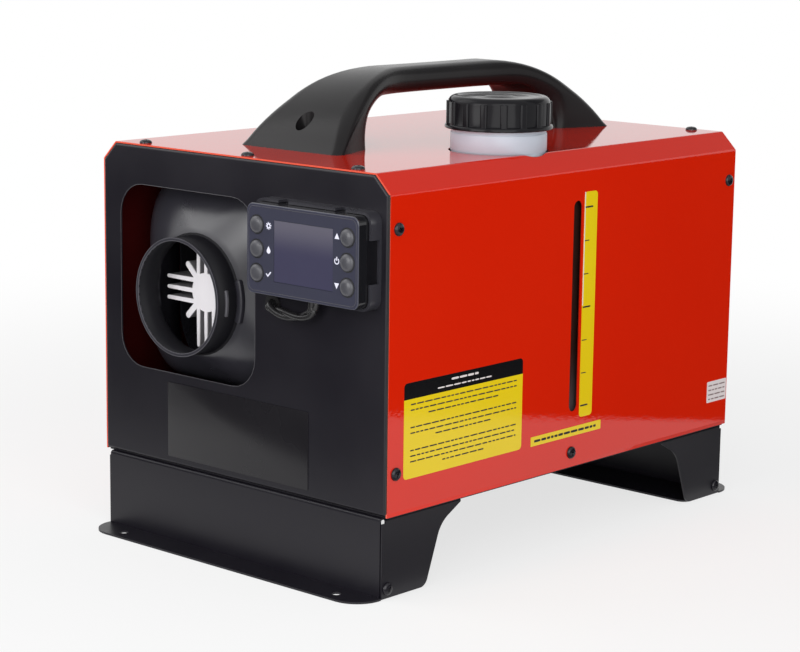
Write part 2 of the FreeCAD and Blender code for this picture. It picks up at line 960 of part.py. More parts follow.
def casing_screws():
    places = [(x, y, casing_top, Vector(0, 0, 1)) for x, y in top_screw_places()]
    for y, z in side_screw_places():
        places.append((half_width, y, z, Vector(1, 0, 0)))
        places.append((-half_width, y, z, Vector(-1, 0, 0)))
    return screw_set("casing_screws", d.screw_length, places)


def foot_screws():
    places = []
    y, z = leg_screw_place()
    for turned in (1, -1):
        for side in (1, -1):
            places.append((side * foot_half, turned * y, z, Vector(side, 0, 0)))
    return screw_set("foot_screws", d.screw_length, places)


def floor_bolts():
    places = [(x, y, floor_top, Vector(0, 0, 1)) for x, y in floor_bolt_places()]
    return screw_set("floor_bolts", d.screw_length, places)


def bracket_screws():
    seat = front - d.bracket_sheet
    places = [(x, seat, z, Vector(0, -1, 0)) for x, z in bracket_screw_places()]
    return screw_set("bracket_screws", d.screw_length, places)


def handle_screws():
    seat = casing_top + d.handle_bore_floor
    places = [(x, y, seat, Vector(0, 0, 1)) for x, y in handle_screw_places()]
    return screw_set("handle_screws", d.screw_length + d.handle_bore_floor, places)


# Carry handle, drawn with its base at z = 0 and its middle at the origin


def handle_side_view():
    """Side view (y, z): sloping ends, a level grip and a finger arch under it."""
    tip = d.handle_length / 2
    top = d.handle_height
    shoulder = tip - d.handle_shoulder
    inner = tip - d.handle_foot_length
    arch = inner - d.handle_arch_lean
    shoulder_radius, arch_radius = d.handle_shoulder_radius, d.handle_arch_radius
    return outline(
        (-tip, 0),
        (-inner, 0),
        (-arch, d.handle_gap, arch_radius),
        (arch, d.handle_gap, arch_radius),
        (inner, 0),
        (tip, 0),
        (shoulder, top, shoulder_radius),
        (-shoulder, top, shoulder_radius),
    )


def handle_waist(side):
    """Plan of what is cut away beside the grip, so that the feet flare out from it."""
    tip = d.handle_length / 2
    neck = tip - d.handle_neck_length
    grip = side * d.handle_grip_width / 2
    wide = side * d.handle_foot_width / 2
    far = side * d.handle_foot_width
    radius = d.handle_neck_radius
    return outline(
        (wide, -tip), (grip, -neck, radius), (grip, neck, radius), (wide, tip), (far, tip), (far, -tip)
    )


def carry_handle():
    body = make_body("carry_handle")
    half = d.handle_foot_width / 2
    add(body, "YZ", -half, half, handle_side_view())
    for side in (-1, 1):
        cut(body, "XY", 0, d.handle_height, handle_waist(side))
    round_edges(body, d.handle_edge_radius, runs_along_handle)
    reach = d.handle_length / 2 - d.handle_bore_inset
    bores = [circle(0, y, d.handle_bore_radius) for y in (-reach, reach)]
    cut(body, "XY", d.handle_bore_floor, d.handle_height, *bores)
    holes = [circle(0, y, screw_hole) for y in (-reach, reach)]
    cut(body, "XY", 0, d.handle_bore_floor, *holes)
    put(body, -d.handle_side_shift, d.handle_end_shift, casing_top)
    return body


def runs_along_handle(edge):
    """True for the edges that run the length of the handle above its base."""
    box = edge.BoundBox
    return box.YLength > 1 and box.ZMax > 0.001


def handle_nuts():
    """Hexagon nuts under the top sheet."""
    pieces = []
    for x, y in handle_screw_places():
        nut = doc.addObject("Part::Prism", "handle_nut_one")
        nut.Polygon = 6
        bind(nut, "Circumradius", d.screw_radius * 2.1)
        bind(nut, "Height", d.screw_radius * 1.6)
        bore = doc.addObject("Part::Cylinder", "handle_nut_bore")
        bind(bore, "Radius", screw_hole)
        bind(bore, "Height", d.screw_radius * 1.6)
        ring = doc.addObject("Part::Cut", "handle_nut_ring")
        ring.Base = nut
        ring.Tool = bore
        put(ring, x, y, casing_top - d.sheet - d.screw_radius * 1.6)
        pieces.append(ring)
    group = doc.addObject("Part::Compound", "handle_nuts")
    group.Links = pieces
    group.Label = "handle_nuts"
    return group


# Fuel tank, cap and fuel line


def tank_middle():
    return (tank_left + tank_right) / 2, (tank_front + tank_rear) / 2


def nipple_place():
    """Place (y, z) of the tank's outlet on its inner side, near the front."""
    return tank_front + d.tank_radius + d.nipple_inset, fuel_line_z()


def fuel_tank():
    body = make_body("fuel_tank")
    x, y = tank_middle()
    add(body, "XY", tank_bottom, tank_top, rectangle(x, y, d.tank_width, tank_length, d.tank_radius))
    for height in (tank_top, tank_bottom):
        round_edges(body, d.tank_radius * 0.6, lambda edge: lies_at(edge, "Z", height))
    add(body, "XY", tank_top - d.tank_wall, neck_top, circle(filler_x, filler_y, d.neck_radius))
    hollow(body, d.tank_wall, "Z", neck_top)
    nipple_y, nipple_z = nipple_place()
    nipple = circle(nipple_y, nipple_z, d.nipple_radius)
    add(body, "YZ", tank_left - d.nipple_length, tank_left + d.tank_wall / 2, nipple)
    return body


def tank_pad():
    body = make_body("tank_pad")
    x, y = tank_middle()
    margin = 4 * d.tank_radius
    add(body, "XY", floor_top, tank_bottom, rectangle(x, y, d.tank_width - margin, tank_length - margin))
    return body


def tank_bracket():
    """Angle along the inner side of the tank, standing on the floor."""
    body = make_body("tank_bracket")
    face = tank_left - d.seat_gap
    section = outline(
        (face, floor_top),
        (face, floor_top + d.tank_bracket_height),
        (face - d.sheet, floor_top + d.tank_bracket_height),
        (face - d.sheet, floor_top + d.sheet),
        (face - d.tank_bracket_foot, floor_top + d.sheet),
        (face - d.tank_bracket_foot, floor_top),
    )
    middle = (tank_front + tank_rear) / 2 + d.tank_bracket_shift
    add(body, "XZ", middle - d.tank_bracket_length / 2, middle + d.tank_bracket_length / 2, section)
    return body


def filler_cap():
    body = make_body("filler_cap")
    inner = d.neck_radius + d.cap_gap
    outer = inner + d.cap_wall
    rim = outer + d.cap_rim
    low, high = d.cap_bottom_height, d.cap_top_height
    ceiling = high - d.cap_top_wall
    turn(
        body,
        (0, ceiling),
        (inner, ceiling),
        (inner, low),
        (rim, low),
        (rim, low + d.cap_rim_height),
        (outer, low + d.cap_rim_height),
        (outer, high, d.cap_edge_radius),
        (0, high),
    )
    reach = outer + d.cap_rib_depth
    rib = rectangle((reach + inner + d.cap_wall / 2) / 2, 0, reach - inner - d.cap_wall / 2, d.cap_rib_width)
    bar = add(body, "XY", low + d.cap_rim_height / 2, high - d.cap_edge_radius, rib)
    ring_pattern(body, [bar], 16)
    put(body, filler_x, filler_y, casing_top)
    return body


def cap_seal():
    body = make_body("cap_seal")
    outer = d.neck_radius
    inner = d.neck_radius - d.tank_wall * 1.2
    low = d.neck_rise + (d.cap_top_height - d.cap_top_wall - d.neck_rise - d.seal_thickness) / 2
    add(body, "XY", low, low + d.seal_thickness, circle(0, 0, outer), circle(0, 0, inner))
    put(body, filler_x, filler_y, casing_top)
    return body


def fuel_line_x():
    return heater_x + d.fuel_line_offset


def fuel_line_z():
    return floor_top + d.fuel_line_height


def fuel_joint():
    """Length of each of the three joints between tank, filter, pump and burner."""
    run = fuel_inlet_y() - nipple_place()[0]
    return (run - d.filter_length - d.pump_length) / 3


def fuel_start_y():
    return nipple_place()[0] + fuel_joint()


def fuel_inlet_y():
    return exchanger_end() - d.exchanger_flange - d.fuel_inlet_inset


def exchanger_end():
    return shell_end - d.exchanger_tail


def inline_body(label, start, length, radius):
    """A round fuel-line piece along Y with a narrow neck at each end."""
    body = make_body(label)
    shoulder = radius / 4
    neck, run = d.fuel_neck_radius, d.fuel_neck_length
    turn(
        body,
        (0, 0),
        (neck, 0),
        (neck, run),
        (radius, run, shoulder),
        (radius, length - run, shoulder),
        (neck, length - run),
        (neck, length),
        (0, length),
    )
    put(body, fuel_line_x(), start, fuel_line_z(), Vector(1, 0, 0), -90.0)
    return body


def fuel_filter():
    return inline_body("fuel_filter", fuel_start_y(), d.filter_length, d.filter_radius)


def pump_start():
    return fuel_start_y() + d.filter_length + fuel_joint()


def fuel_pump():
    return inline_body("fuel_pump", pump_start(), d.pump_length, d.pump_radius)


def line_clip(label, middle, radius):
    """A clip round a fuel-line piece: a ring on a stem that stands on the floor."""
    body = make_body(label)
    x, z = fuel_line_x(), fuel_line_z()
    start, end = middle - d.clip_width / 2, middle + d.clip_width / 2
    outer = radius + d.seat_gap + d.clip_thickness
    add(body, "XZ", start, end, circle(x, z, outer))
    stem = outline(
        (x - outer, floor_top),
        (x + outer, floor_top),
        (x + outer, floor_top + d.clip_thickness),
        (x + d.clip_thickness, floor_top + d.clip_thickness),
        (x + d.clip_thickness, z),
        (x - d.clip_thickness, z),
        (x - d.clip_thickness, floor_top + d.clip_thickness),
        (x - outer, floor_top + d.clip_thickness),
    )
    add(body, "XZ", start, end, stem)
    cut(body, "XZ", start, end, circle(x, z, radius + d.seat_gap))
    return body


def filter_clip():
    return line_clip("filter_clip", fuel_start_y() + d.filter_length / 2, d.filter_radius)


def pump_clip():
    return line_clip("pump_clip", pump_start() + d.pump_length / 2, d.pump_radius)


def bend_radius_for(before, here, after):
    """The largest arc that the two runs at a point of a route leave room for."""
    run = min(before.distanceToPoint(here), after.distanceToPoint(here))
    turn_angle = math.pi - (before - here).getAngle(after - here)
    return 0.45 * run / math.tan(turn_angle / 2)


def tube(label, radius, points):
    """A round tube along straight runs joined by tangent arcs."""
    places = [Vector(*[number(value) for value in point]) for point in points]
    edges = []
    radii = []
    last = places[0]
    for before, here, after in zip(places, places[1:], places[2:]):
        bend = bend_radius_for(before, here, after)
        arc = corner_arc(before, here, after, bend)
        edges.append(Part.LineSegment(last, arc[0]).toShape())
        edges.append(Part.Arc(*arc).toShape())
        radii.append(round(bend, 1))
        last = arc[2]
    edges.append(Part.LineSegment(last, places[-1]).toShape())
    path = Part.Wire(edges)
    section = Part.Wire(Part.makeCircle(number(radius), places[0], places[1] - places[0]))
    piece = doc.addObject("Part::Feature", label)
    piece.Shape = path.makePipeShell([section], True, False)
    piece.Label = label
    wanted = math.pi * number(radius) ** 2 * path.Length
    share = piece.Shape.Volume / wanted
    print(f"{label}: length {path.Length:.1f}, bend radii {radii}, volume {share:.4f} of section by length")
    return piece


def tank_hose():
    """From the tank's outlet to the filter."""
    y, z = nipple_place()
    x, start = fuel_line_x(), fuel_start_y()
    return tube("tank_hose", d.hose_radius, [(tank_left - d.nipple_length, y, z), (x, y, z), (x, start, z)])


def filter_hose():
    """From the filter to the pump."""
    x, z = fuel_line_x(), fuel_line_z()
    body = make_body("filter_hose")
    add(body, "XZ", fuel_start_y() + d.filter_length, pump_start(), circle(x, z, d.hose_radius))
    return body


def pump_hose():
    """From the pump round and up to the burner's fuel inlet."""
    x, y, z = fuel_line_x(), pump_start() + d.pump_length, fuel_line_z()
    rise = (shell_bottom - d.fuel_inlet_drop - z) / 3
    aside = d.fuel_line_offset / 3
    end = fuel_inlet_y()
    points = [
        (x, y, z),
        (x, y + fuel_joint() * 0.7, z),
        (x - aside, end, z + rise),
        (x - 3 * aside, end, z + 2 * rise),
        (x - 3 * aside, end, z + 3 * rise),
    ]
    return tube("pump_hose", d.hose_radius, points)


# Heater


def half_shell(label, side):
    """Half of the heater's tube-like cover: side is 1 for the upper and -1 for the lower."""
    body = make_body(label)
    reach, high = d.shell_width / 2, side * d.shell_height / 2
    inner, inner_high = reach - d.shell_wall, side * (d.shell_height / 2 - d.shell_wall)
    start = heater_z + side * d.shell_split / 2
    inner_radius = d.shell_radius - d.shell_wall
    section = outline(
        (heater_x - reach, start),
        (heater_x - reach, heater_z + high, d.shell_radius),
        (heater_x + reach, heater_z + high, d.shell_radius),
        (heater_x + reach, start),
        (heater_x + inner, start),
        (heater_x + inner, heater_z + inner_high, inner_radius),
        (heater_x - inner, heater_z + inner_high, inner_radius),
        (heater_x - inner, start),
    )
    add(body, "XZ", shell_start, shell_end, section)
    return body


def upper_shell():
    return half_shell("heater_upper_shell", 1)


def lower_shell():
    body = half_shell("heater_lower_shell", -1)
    room = 2 * d.stub_hole_gap
    hole_width, hole_length = d.exchanger_foot_width + room, d.exchanger_foot_length + room
    foot_hole = rectangle(heater_x, exchanger_foot_y(), hole_width, hole_length)
    fuel_hole = circle(heater_x, fuel_inlet_y(), d.nipple_radius + d.stub_hole_gap)
    cut(body, "XY", shell_bottom, shell_bottom + d.shell_wall, foot_hole, fuel_hole)
    return body


def hollow_end(label, start, end, face, radius):
    """A moulded end cover of the heater: rounded at its face and open at the other end."""
    body = make_body(label)
    add(body, "XZ", start, end, rectangle(heater_x, heater_z, d.shell_width, d.shell_height, d.shell_radius))
    round_edges(body, radius, lambda edge: lies_at(edge, "Y", face))
    hollow(body, d.shell_wall, "Y", start if number(face) == number(end) else end)
    return body


def outlet_hood():
    body = hollow_end("outlet_hood", hood_face, shell_start - d.seat_gap, hood_face, d.hood_edge_radius)
    rim = front - d.spout_proud
    inner_face = hood_face + d.shell_wall
    add(body, "XZ", rim, inner_face, circle(heater_x, heater_z, d.spout_radius))
    cut(body, "XZ", rim, inner_face, circle(heater_x, heater_z, d.spout_radius - d.spout_wall))
    return body


def intake_cover():
    end = shell_end + d.seat_gap + d.cover_length
    body = hollow_end("intake_cover", shell_end + d.seat_gap, end, end, d.cover_edge_radius)
    skin = end - d.shell_wall
    cut(body, "XZ", skin, end, circle(heater_x, heater_z, d.cover_opening_radius))
    add(body, "XZ", skin, end, circle(heater_x, heater_z, d.cover_hub_radius))
    width = 2 * d.cover_opening_radius + d.shell_wall
    add(body, "XZ", skin, end, rectangle(heater_x, heater_z, width, d.cover_spoke_width))
    add(body, "XZ", skin, end, rectangle(heater_x, heater_z, d.cover_spoke_width, width))
    return body


def exchanger_fin_end():
    return exchanger_end() - d.exchanger_flange - d.fin_end_gap


def exchanger_foot_y():
    return exchanger_fin_end() - d.exchanger_foot_length / 2


def fin_corners():
    """Corners (along, across, radius) of a fin: thickest at the axis and rounded at both tips."""
    reach, tip, root = d.fin_reach, d.fin_tip / 2, d.fin_thickness / 2
    radius = tip * 0.9
    return [
        (-reach, -tip, radius),
        (0 * reach, -root),
        (reach, -tip, radius),
        (reach, tip, radius),
        (0 * reach, root),
        (-reach, tip, radius),
    ]


def level_fin():
    z = heater_z - d.fin_pitch
    return outline(*[(heater_x + along, z + across, *radius) for along, across, *radius in fin_corners()])


def upright_fin():
    x = heater_x - d.fin_pitch
    return outline(*[(x + across, heater_z + along, *radius) for along, across, *radius in fin_corners()])


def slanted_bar(lean):
    """A bar through the heater's axis at 45 degrees, rounded at its tips: lean is 1 or -1."""
    along = d.fin_diagonal_reach * math.sqrt(0.5)
    across = d.fin_diagonal_thickness / 2 * math.sqrt(0.5)
    radius = d.fin_diagonal_thickness * 0.45
    ends = ((along - across, along + across), (along + across, along - across))
    corners = []
    for sign in (1, -1):
        for x, z in ends:
            corners.append((heater_x + sign * x, heater_z + sign * lean * z, radius))
    return outline(*corners)


def heat_exchanger():
    """Cast combustion chamber with parallel fins on four sides, seen end-on through the outlet."""
    body = make_body("heat_exchanger")
    chamber_start = exchanger_front + d.hub_length
    end, fin_end = exchanger_end(), exchanger_fin_end()
    add(body, "XZ", exchanger_front, chamber_start + d.chamber_wall, circle(heater_x, heater_z, d.hub_radius))
    add(body, "XZ", chamber_start, end, circle(heater_x, heater_z, d.chamber_radius))
    add(body, "XZ", end - d.exchanger_flange, end, circle(heater_x, heater_z, d.exchanger_flange_radius))
    level = add(body, "XZ", exchanger_front, fin_end, level_fin())
    row_pattern(body, level, "Z_Axis", 2 * d.fin_pitch, 3)
    upright = add(body, "XZ", exchanger_front, fin_end, upright_fin())
    row_pattern(body, upright, "X_Axis", 2 * d.fin_pitch, 3)
    for lean in (1, -1):
        add(body, "XZ", exchanger_front, chamber_start + d.chamber_wall, slanted_bar(lean))
    foot = rectangle(heater_x, exchanger_foot_y(), d.exchanger_foot_width, d.exchanger_foot_length)
    add(body, "XY", shell_bottom, heater_z - d.chamber_radius / 2, foot)
    inlet = circle(heater_x, fuel_inlet_y(), d.nipple_radius)
    add(body, "XY", shell_bottom - d.fuel_inlet_drop, heater_z - d.chamber_radius / 2, inlet)
    bore = circle(heater_x, heater_z, d.chamber_radius - d.chamber_wall)
    cut(body, "XZ", chamber_start + d.chamber_wall, end, bore)
    plug_hole = circle(heater_x, fuel_inlet_y(), d.glow_plug_radius + d.seat_gap)
    cut(body, "XY", heater_z, heater_z + d.chamber_radius, plug_hole)
    return body


def burner_tube():
    body = make_body("burner_tube")
    end = exchanger_end()
    start = end - d.burner_length
    bore = circle(heater_x, heater_z, d.burner_radius - d.burner_wall)
    add(body, "XZ", start, end, circle(heater_x, heater_z, d.burner_radius), bore)
    flange_radius = d.chamber_radius - d.chamber_wall - d.seat_gap
    add(body, "XZ", end - 2 * d.burner_wall, end, circle(heater_x, heater_z, flange_radius), bore)
    return body


def glow_plug():
    body = make_body("glow_plug")
    place = circle(heater_x, fuel_inlet_y(), d.glow_plug_radius)
    low = heater_z + d.burner_radius + d.seat_gap
    add(body, "XY", low, heater_z + d.chamber_radius + d.glow_plug_rise, place)
    collar = circle(heater_x, fuel_inlet_y(), d.glow_plug_radius * 1.5)
    seat = heater_z + d.chamber_radius + d.seat_gap
    add(body, "XY", seat, seat + d.glow_plug_radius, collar)
    return body


def overheat_sensor():
    body = make_body("overheat_sensor")
    low = heater_z + d.fin_reach
    place = circle(heater_x, exchanger_front + 2 * d.hub_length, d.sensor_radius)
    add(body, "XY", low, low + d.sensor_height, place)
    return body


def control_board():
    """Closed box of the heater's control board, under the upper cover."""
    body = make_body("control_board")
    high = heater_z + d.shell_height / 2 - d.shell_wall
    place = rectangle(heater_x, exchanger_foot_y(), d.board_box_width, d.board_box_length)
    add(body, "XY", high - d.board_box_height, high, place)
    return body


# Blower, drawn along Z and turned to lie along Y


def lay_along_y(body, start):
    put(body, heater_x, start, heater_z, Vector(1, 0, 0), -90.0)


def blower_case():
    body = make_body("blower_case")
    cavity = d.impeller_radius + d.running_gap
    outer = d.exchanger_flange_radius
    floor = d.blower_case_length - d.blower_case_wall
    hole = d.shaft_radius + d.running_gap
    turn(
        body,
        (hole, floor),
        (cavity, floor),
        (cavity, 0),
        (outer, 0),
        (outer, d.blower_case_length),
        (hole, d.blower_case_length),
    )
    lay_along_y(body, exchanger_end())
    return body


def combustion_impeller():
    body = make_body("combustion_impeller")
    bore = d.shaft_radius + d.shaft_gap
    back = d.impeller_width - d.blade_thickness
    turn(
        body,
        (bore, 0),
        (d.impeller_hub_radius, 0),
        (d.impeller_hub_radius, back),
        (d.impeller_radius, back),
        (d.impeller_radius, d.impeller_width),
        (bore, d.impeller_width),
    )
    start = d.impeller_hub_radius - d.blade_thickness / 2
    middle = (start + d.impeller_radius) / 2
    vane = rectangle(middle, 0, d.impeller_radius - start, d.blade_thickness)
    ring_pattern(body, [add(body, "XY", 0, back + d.blade_thickness / 2, vane)], 11)
    lay_along_y(body, impeller_start())
    return body


def impeller_start():
    return exchanger_end() + (d.blower_case_length - d.blower_case_wall - d.impeller_width) / 2


def motor_start():
    return exchanger_end() + d.blower_case_length


def fan_start():
    return motor_start() + d.motor_length + d.running_gap


def blower_motor():
    body = make_body("blower_motor")
    bore = d.shaft_radius + d.shaft_gap
    add(body, "XY", 0, d.motor_length, circle(0, 0, d.motor_radius), circle(0, 0, bore))
    lay_along_y(body, motor_start())
    return body


def fan_blade():
    """Section (y, z) of a blade, leaning by the blade angle."""
    lean = math.radians(SIZES["blade_angle"])
    half_length = (d.fan_width - d.blade_thickness) / (2 * math.sin(lean))
    along_y, along_z = half_length * math.cos(lean), half_length * math.sin(lean)
    across_y, across_z = d.blade_thickness / 2 * math.sin(lean), d.blade_thickness / 2 * math.cos(lean)
    middle = d.fan_width / 2
    return outline(
        (-along_y - across_y, middle - along_z + across_z),
        (-along_y + across_y, middle - along_z - across_z),
        (along_y + across_y, middle + along_z - across_z),
        (along_y - across_y, middle + along_z + across_z),
    )


def main_fan():
    """Axial fan with its shaft, which also carries the combustion impeller."""
    body = make_body("main_fan")
    add(body, "XY", 0, d.fan_width, circle(0, 0, d.fan_hub_radius))
    blade = add(body, "YZ", d.fan_hub_radius / 2, d.fan_radius, fan_blade())
    ring_pattern(body, [blade], 7)
    add(body, "XY", impeller_start() - fan_start(), d.fan_width / 2, circle(0, 0, d.shaft_radius))
    lay_along_y(body, fan_start())
    return body


# Seat of the heater and its pipes


def base_gasket():
    body = make_body("base_gasket")
    length = d.exchanger_foot_length + 2 * d.gasket_margin
    place = rectangle(heater_x, exchanger_foot_y(), d.shell_width - 2 * d.shell_radius, length)
    holes = [circle(x, y, d.stub_radius + d.seat_gap) for x, y in stub_places()]
    add(body, "XY", shell_bottom - d.gasket, shell_bottom, place, *holes)
    return body


def bridge_top():
    return shell_bottom - d.gasket


def heater_bridge():
    """Hat-shaped stand that carries the heater over the floor."""
    body = make_body("heater_bridge")
    half, gauge = d.bridge_width / 2, d.bridge_sheet
    tip = half + d.bridge_foot
    low, high = floor_top, bridge_top()
    section = outline(
        (heater_x - tip, low),
        (heater_x - half + gauge, low),
        (heater_x - half + gauge, high - gauge),
        (heater_x + half - gauge, high - gauge),
        (heater_x + half - gauge, low),
        (heater_x + tip, low),
        (heater_x + tip, low + gauge),
        (heater_x + half, low + gauge),
        (heater_x + half, high),
        (heater_x - half, high),
        (heater_x - half, low + gauge),
        (heater_x - tip, low + gauge),
    )
    middle = exchanger_foot_y()
    add(body, "XZ", middle - d.bridge_length / 2, middle + d.bridge_length / 2, section)
    stubs = [circle(x, y, d.stub_radius + d.stub_hole_gap) for x, y in stub_places()]
    inlet = circle(heater_x, fuel_inlet_y(), d.nipple_radius + d.stub_hole_gap)
    cut(body, "XY", high - gauge, high, inlet, *stubs)
    return body


def pipe_stub(label, place):
    body = make_body(label)
    bore = circle(*place, d.stub_radius - d.stub_wall)
    add(body, "XY", floor_bottom - d.stub_drop, shell_bottom, circle(*place, d.stub_radius), bore)
    collar = circle(*place, d.stub_radius + d.stub_collar)
    add(body, "XY", floor_bottom - d.stub_collar, floor_bottom, collar, bore)
    return body


def exhaust_stub():
    return pipe_stub("exhaust_stub", stub_places()[0])


def air_stub():
    return pipe_stub("air_stub", stub_places()[1])


# Power supply and inlets


def power_supply():
    body = make_body("power_supply")
    x, _ = tank_middle()
    end = rear - d.panel_return - d.supply_gap
    block = rectangle(x, end - d.supply_depth / 2, d.supply_width, d.supply_depth)
    add(body, "XY", floor_top, floor_top + d.supply_height, block)
    count = 6
    first = floor_top + d.supply_height / 4
    vent = rectangle(x, first, d.supply_width * 0.7, d.intake_slot_width)
    pitch = d.supply_height / 2 / (count - 1)
    opened = cut(body, "XZ", end - d.sheet, end, vent)
    row_pattern(body, opened, "Z_Axis", (count - 1) * pitch, count)
    return body


def mains_inlet():
    """Appliance inlet with three flat pins in a recess."""
    body = make_body("mains_inlet")
    x, z = inlet_place()
    back = rear - d.inlet_depth
    add(body, "XZ", back, rear, rectangle(x, z, d.inlet_width, d.inlet_height))
    rim_width, rim_height = d.inlet_width + 2 * d.inlet_rim, d.inlet_height + 2 * d.inlet_rim
    rim = rectangle(x, z, rim_width, rim_height, d.inlet_rim * 0.8)
    add(body, "XZ", rear, rear + d.inlet_rim_thickness, rim)
    recess_floor = back + d.inlet_rim
    wall = d.inlet_rim_thickness
    corner = d.inlet_height / 4
    left, right = x - d.inlet_width / 2 + wall, x + d.inlet_width / 2 - wall
    low, high = z - d.inlet_height / 2 + wall, z + d.inlet_height / 2 - wall
    recess = outline(
        (left, low),
        (right, low),
        (right, high - corner),
        (right - corner, high),
        (left + corner, high),
        (left, high - corner),
    )
    cut(body, "XZ", recess_floor, rear + d.inlet_rim_thickness, recess)
    pin_height = d.inlet_height / 5
    for side, level in ((-1, -0.5), (0, 0.5), (1, -0.5)):
        pin = rectangle(x + side * d.inlet_width / 4, z + level * pin_height, d.inlet_width / 13, pin_height)
        add(body, "XZ", recess_floor - d.inlet_rim / 2, rear - d.inlet_rim_thickness, pin)
    return body


def dc_socket():
    body = make_body("dc_socket")
    x, z = socket_place()
    back = rear - d.socket_depth
    add(body, "XZ", back, rear, circle(x, z, d.socket_radius))
    add(body, "XZ", rear, rear + d.inlet_rim_thickness, circle(x, z, d.socket_radius + d.socket_rim))
    bore_floor = back + d.socket_rim
    cut(body, "XZ", bore_floor, rear + d.inlet_rim_thickness, circle(x, z, d.socket_radius * 0.7))
    add(body, "XZ", bore_floor - d.socket_rim / 2, rear, circle(x, z, d.socket_radius * 0.2))
    return body


# Hand controller


def controller_outline(grow):
    """Rounded outline of the controller, grown outward."""
    width, height = d.controller_width + 2 * grow, d.controller_height + 2 * grow
    return rectangle(controller_x, controller_z, width, height, d.controller_radius + grow)


def bracket_front():
    return front - d.bracket_sheet


def case_back():
    return bracket_front() - d.seat_gap


def parting_face():
    return case_back() - d.controller_back_depth


def controller_bracket():
    """Plate on the front panel whose claws hold the controller at its corners."""
    body = make_body("controller_bracket")
    room = bracket_room()
    outer = room + d.bracket_sheet
    holes = [circle(*place, screw_hole) for place in bracket_screw_places()]
    add(body, "XZ", bracket_front(), front, controller_outline(outer), *holes)
    claw_end = bracket_front() - d.bracket_claw_depth
    add(body, "XZ", claw_end, bracket_front(), controller_outline(outer), controller_outline(room))
    wide = d.controller_width + 4 * d.bracket_sheet
    sides = rectangle(controller_x, controller_z, wide, d.bracket_side_gap)
    cut(body, "XZ", claw_end, bracket_front(), sides)
    tall = 4 * d.bracket_sheet
    top = controller_z + d.controller_height / 2
    for side in (-1, 1):
        gap = rectangle(controller_x + side * d.bracket_top_gap * 0.7, top, d.bracket_top_gap / 4, tall)
        cut(body, "XZ", claw_end, bracket_front(), gap)
    low = controller_z - d.controller_height / 2
    cut(body, "XZ", claw_end, bracket_front(), rectangle(cable_end_x(), low, d.bracket_top_gap, tall))
    return body


def cable_end_x():
    return controller_x - d.cable_end_shift


def controller_back():
    body = make_body("controller_back")
    add(body, "XZ", parting_face(), case_back(), controller_outline(0))
    cut(body, "XZ", parting_face(), case_back() - d.controller_wall, controller_outline(-d.controller_wall))
    recess = d.screw_head_radius + d.seat_gap
    holes = [circle(*place, recess) for place in bracket_screw_places()]
    cut(body, "XZ", case_back() - d.controller_wall, case_back(), *holes)
    return body


def screen_place():
    return controller_x + d.screen_shift, controller_z


def button_places():
    """Places (x, z) of the six buttons, left column first, each from the top down."""
    places = []
    for side in (-1, 1):
        for row in (1, 0, -1):
            places.append((controller_x + side * d.button_column / 2, controller_z + row * d.button_pitch))
    return places


def controller_face():
    body = make_body("controller_face")
    end = parting_face() - d.seat_gap / 2
    add(body, "XZ", controller_front, end, controller_outline(0))
    cut(body, "XZ", controller_front + d.controller_wall, end, controller_outline(-d.controller_wall))
    round_edges(body, d.controller_wall * 0.6, lambda edge: lies_at(edge, "Y", controller_front))
    holes = [circle(*place, d.button_radius + d.button_gap) for place in button_places()]
    screen = rectangle(*screen_place(), d.screen_width, d.screen_height)
    cut(body, "XZ", controller_front, controller_front + d.controller_wall, screen, *holes)
    return body


def display_window():
    body = make_body("display_window")
    start = controller_front + d.window_gap
    place = rectangle(*screen_place(), d.screen_width - 2 * d.window_gap, d.screen_height - 2 * d.window_gap)
    add(body, "XZ", start, start + d.window_thickness, place)
    return body


def controller_board():
    """Circuit board with the display behind the window and a switch behind each button."""
    body = make_body("controller_board")
    start = parting_face() + d.seat_gap
    margin = d.controller_wall + d.circuit_margin
    width, height = d.controller_width - 2 * margin, d.controller_height - 2 * margin
    corner = d.controller_radius - margin
    board = rectangle(controller_x, controller_z, width, height, corner)
    add(body, "XZ", start, start + d.circuit_thickness, board)
    display_face = controller_front + d.window_gap + d.window_thickness + d.window_gap
    add(body, "XZ", display_face, start, rectangle(*screen_place(), d.screen_width, d.screen_height))
    switch_face = button_back() + d.button_travel + d.button_gap
    switches = [circle(*place, d.button_radius / 2) for place in button_places()]
    add(body, "XZ", switch_face, start, *switches)
    return body


def button_back():
    """Where the inner end of a button's flange lies at rest."""
    return controller_front + d.controller_wall + d.button_gap + d.button_flange


def button(label, place):
    """A domed button that is held behind the face by a flange."""
    body = make_body(label)
    flange_top = -d.controller_wall - d.button_gap
    radius = d.button_radius
    flange = radius + 2 * d.button_gap
    turn(
        body,
        (0, flange_top - d.button_flange),
        (flange, flange_top - d.button_flange),
        (flange, flange_top),
        (radius, flange_top),
        (radius, d.button_proud, radius * 0.45),
        (0, d.button_proud),
    )
    x, z = place
    put(body, x, controller_front, z, Vector(1, 0, 0), 90.0)
    return body


BUTTON_NAMES = ["settings", "prime", "confirm", "up", "power", "down"]


def buttons():
    return [button(f"button_{name}", place) for name, place in zip(BUTTON_NAMES, button_places())]


def cable_grommet():
    body = make_body("cable_grommet")
    bore = d.cable_radius + d.seat_gap
    waist = d.grommet_radius - d.seat_gap
    lip = waist + d.grommet_lip
    gauge = d.sheet + 2 * d.seat_gap
    turn(
        body,
        (bore, -d.grommet_lip),
        (lip, -d.grommet_lip),
        (lip, 0),
        (waist, 0),
        (waist, gauge),
        (lip, gauge),
        (lip, gauge + d.grommet_lip),
        (bore, gauge + d.grommet_lip),
    )
    x, z = grommet_place()
    put(body, x, front - d.seat_gap, z, Vector(1, 0, 0), -90.0)
    return body


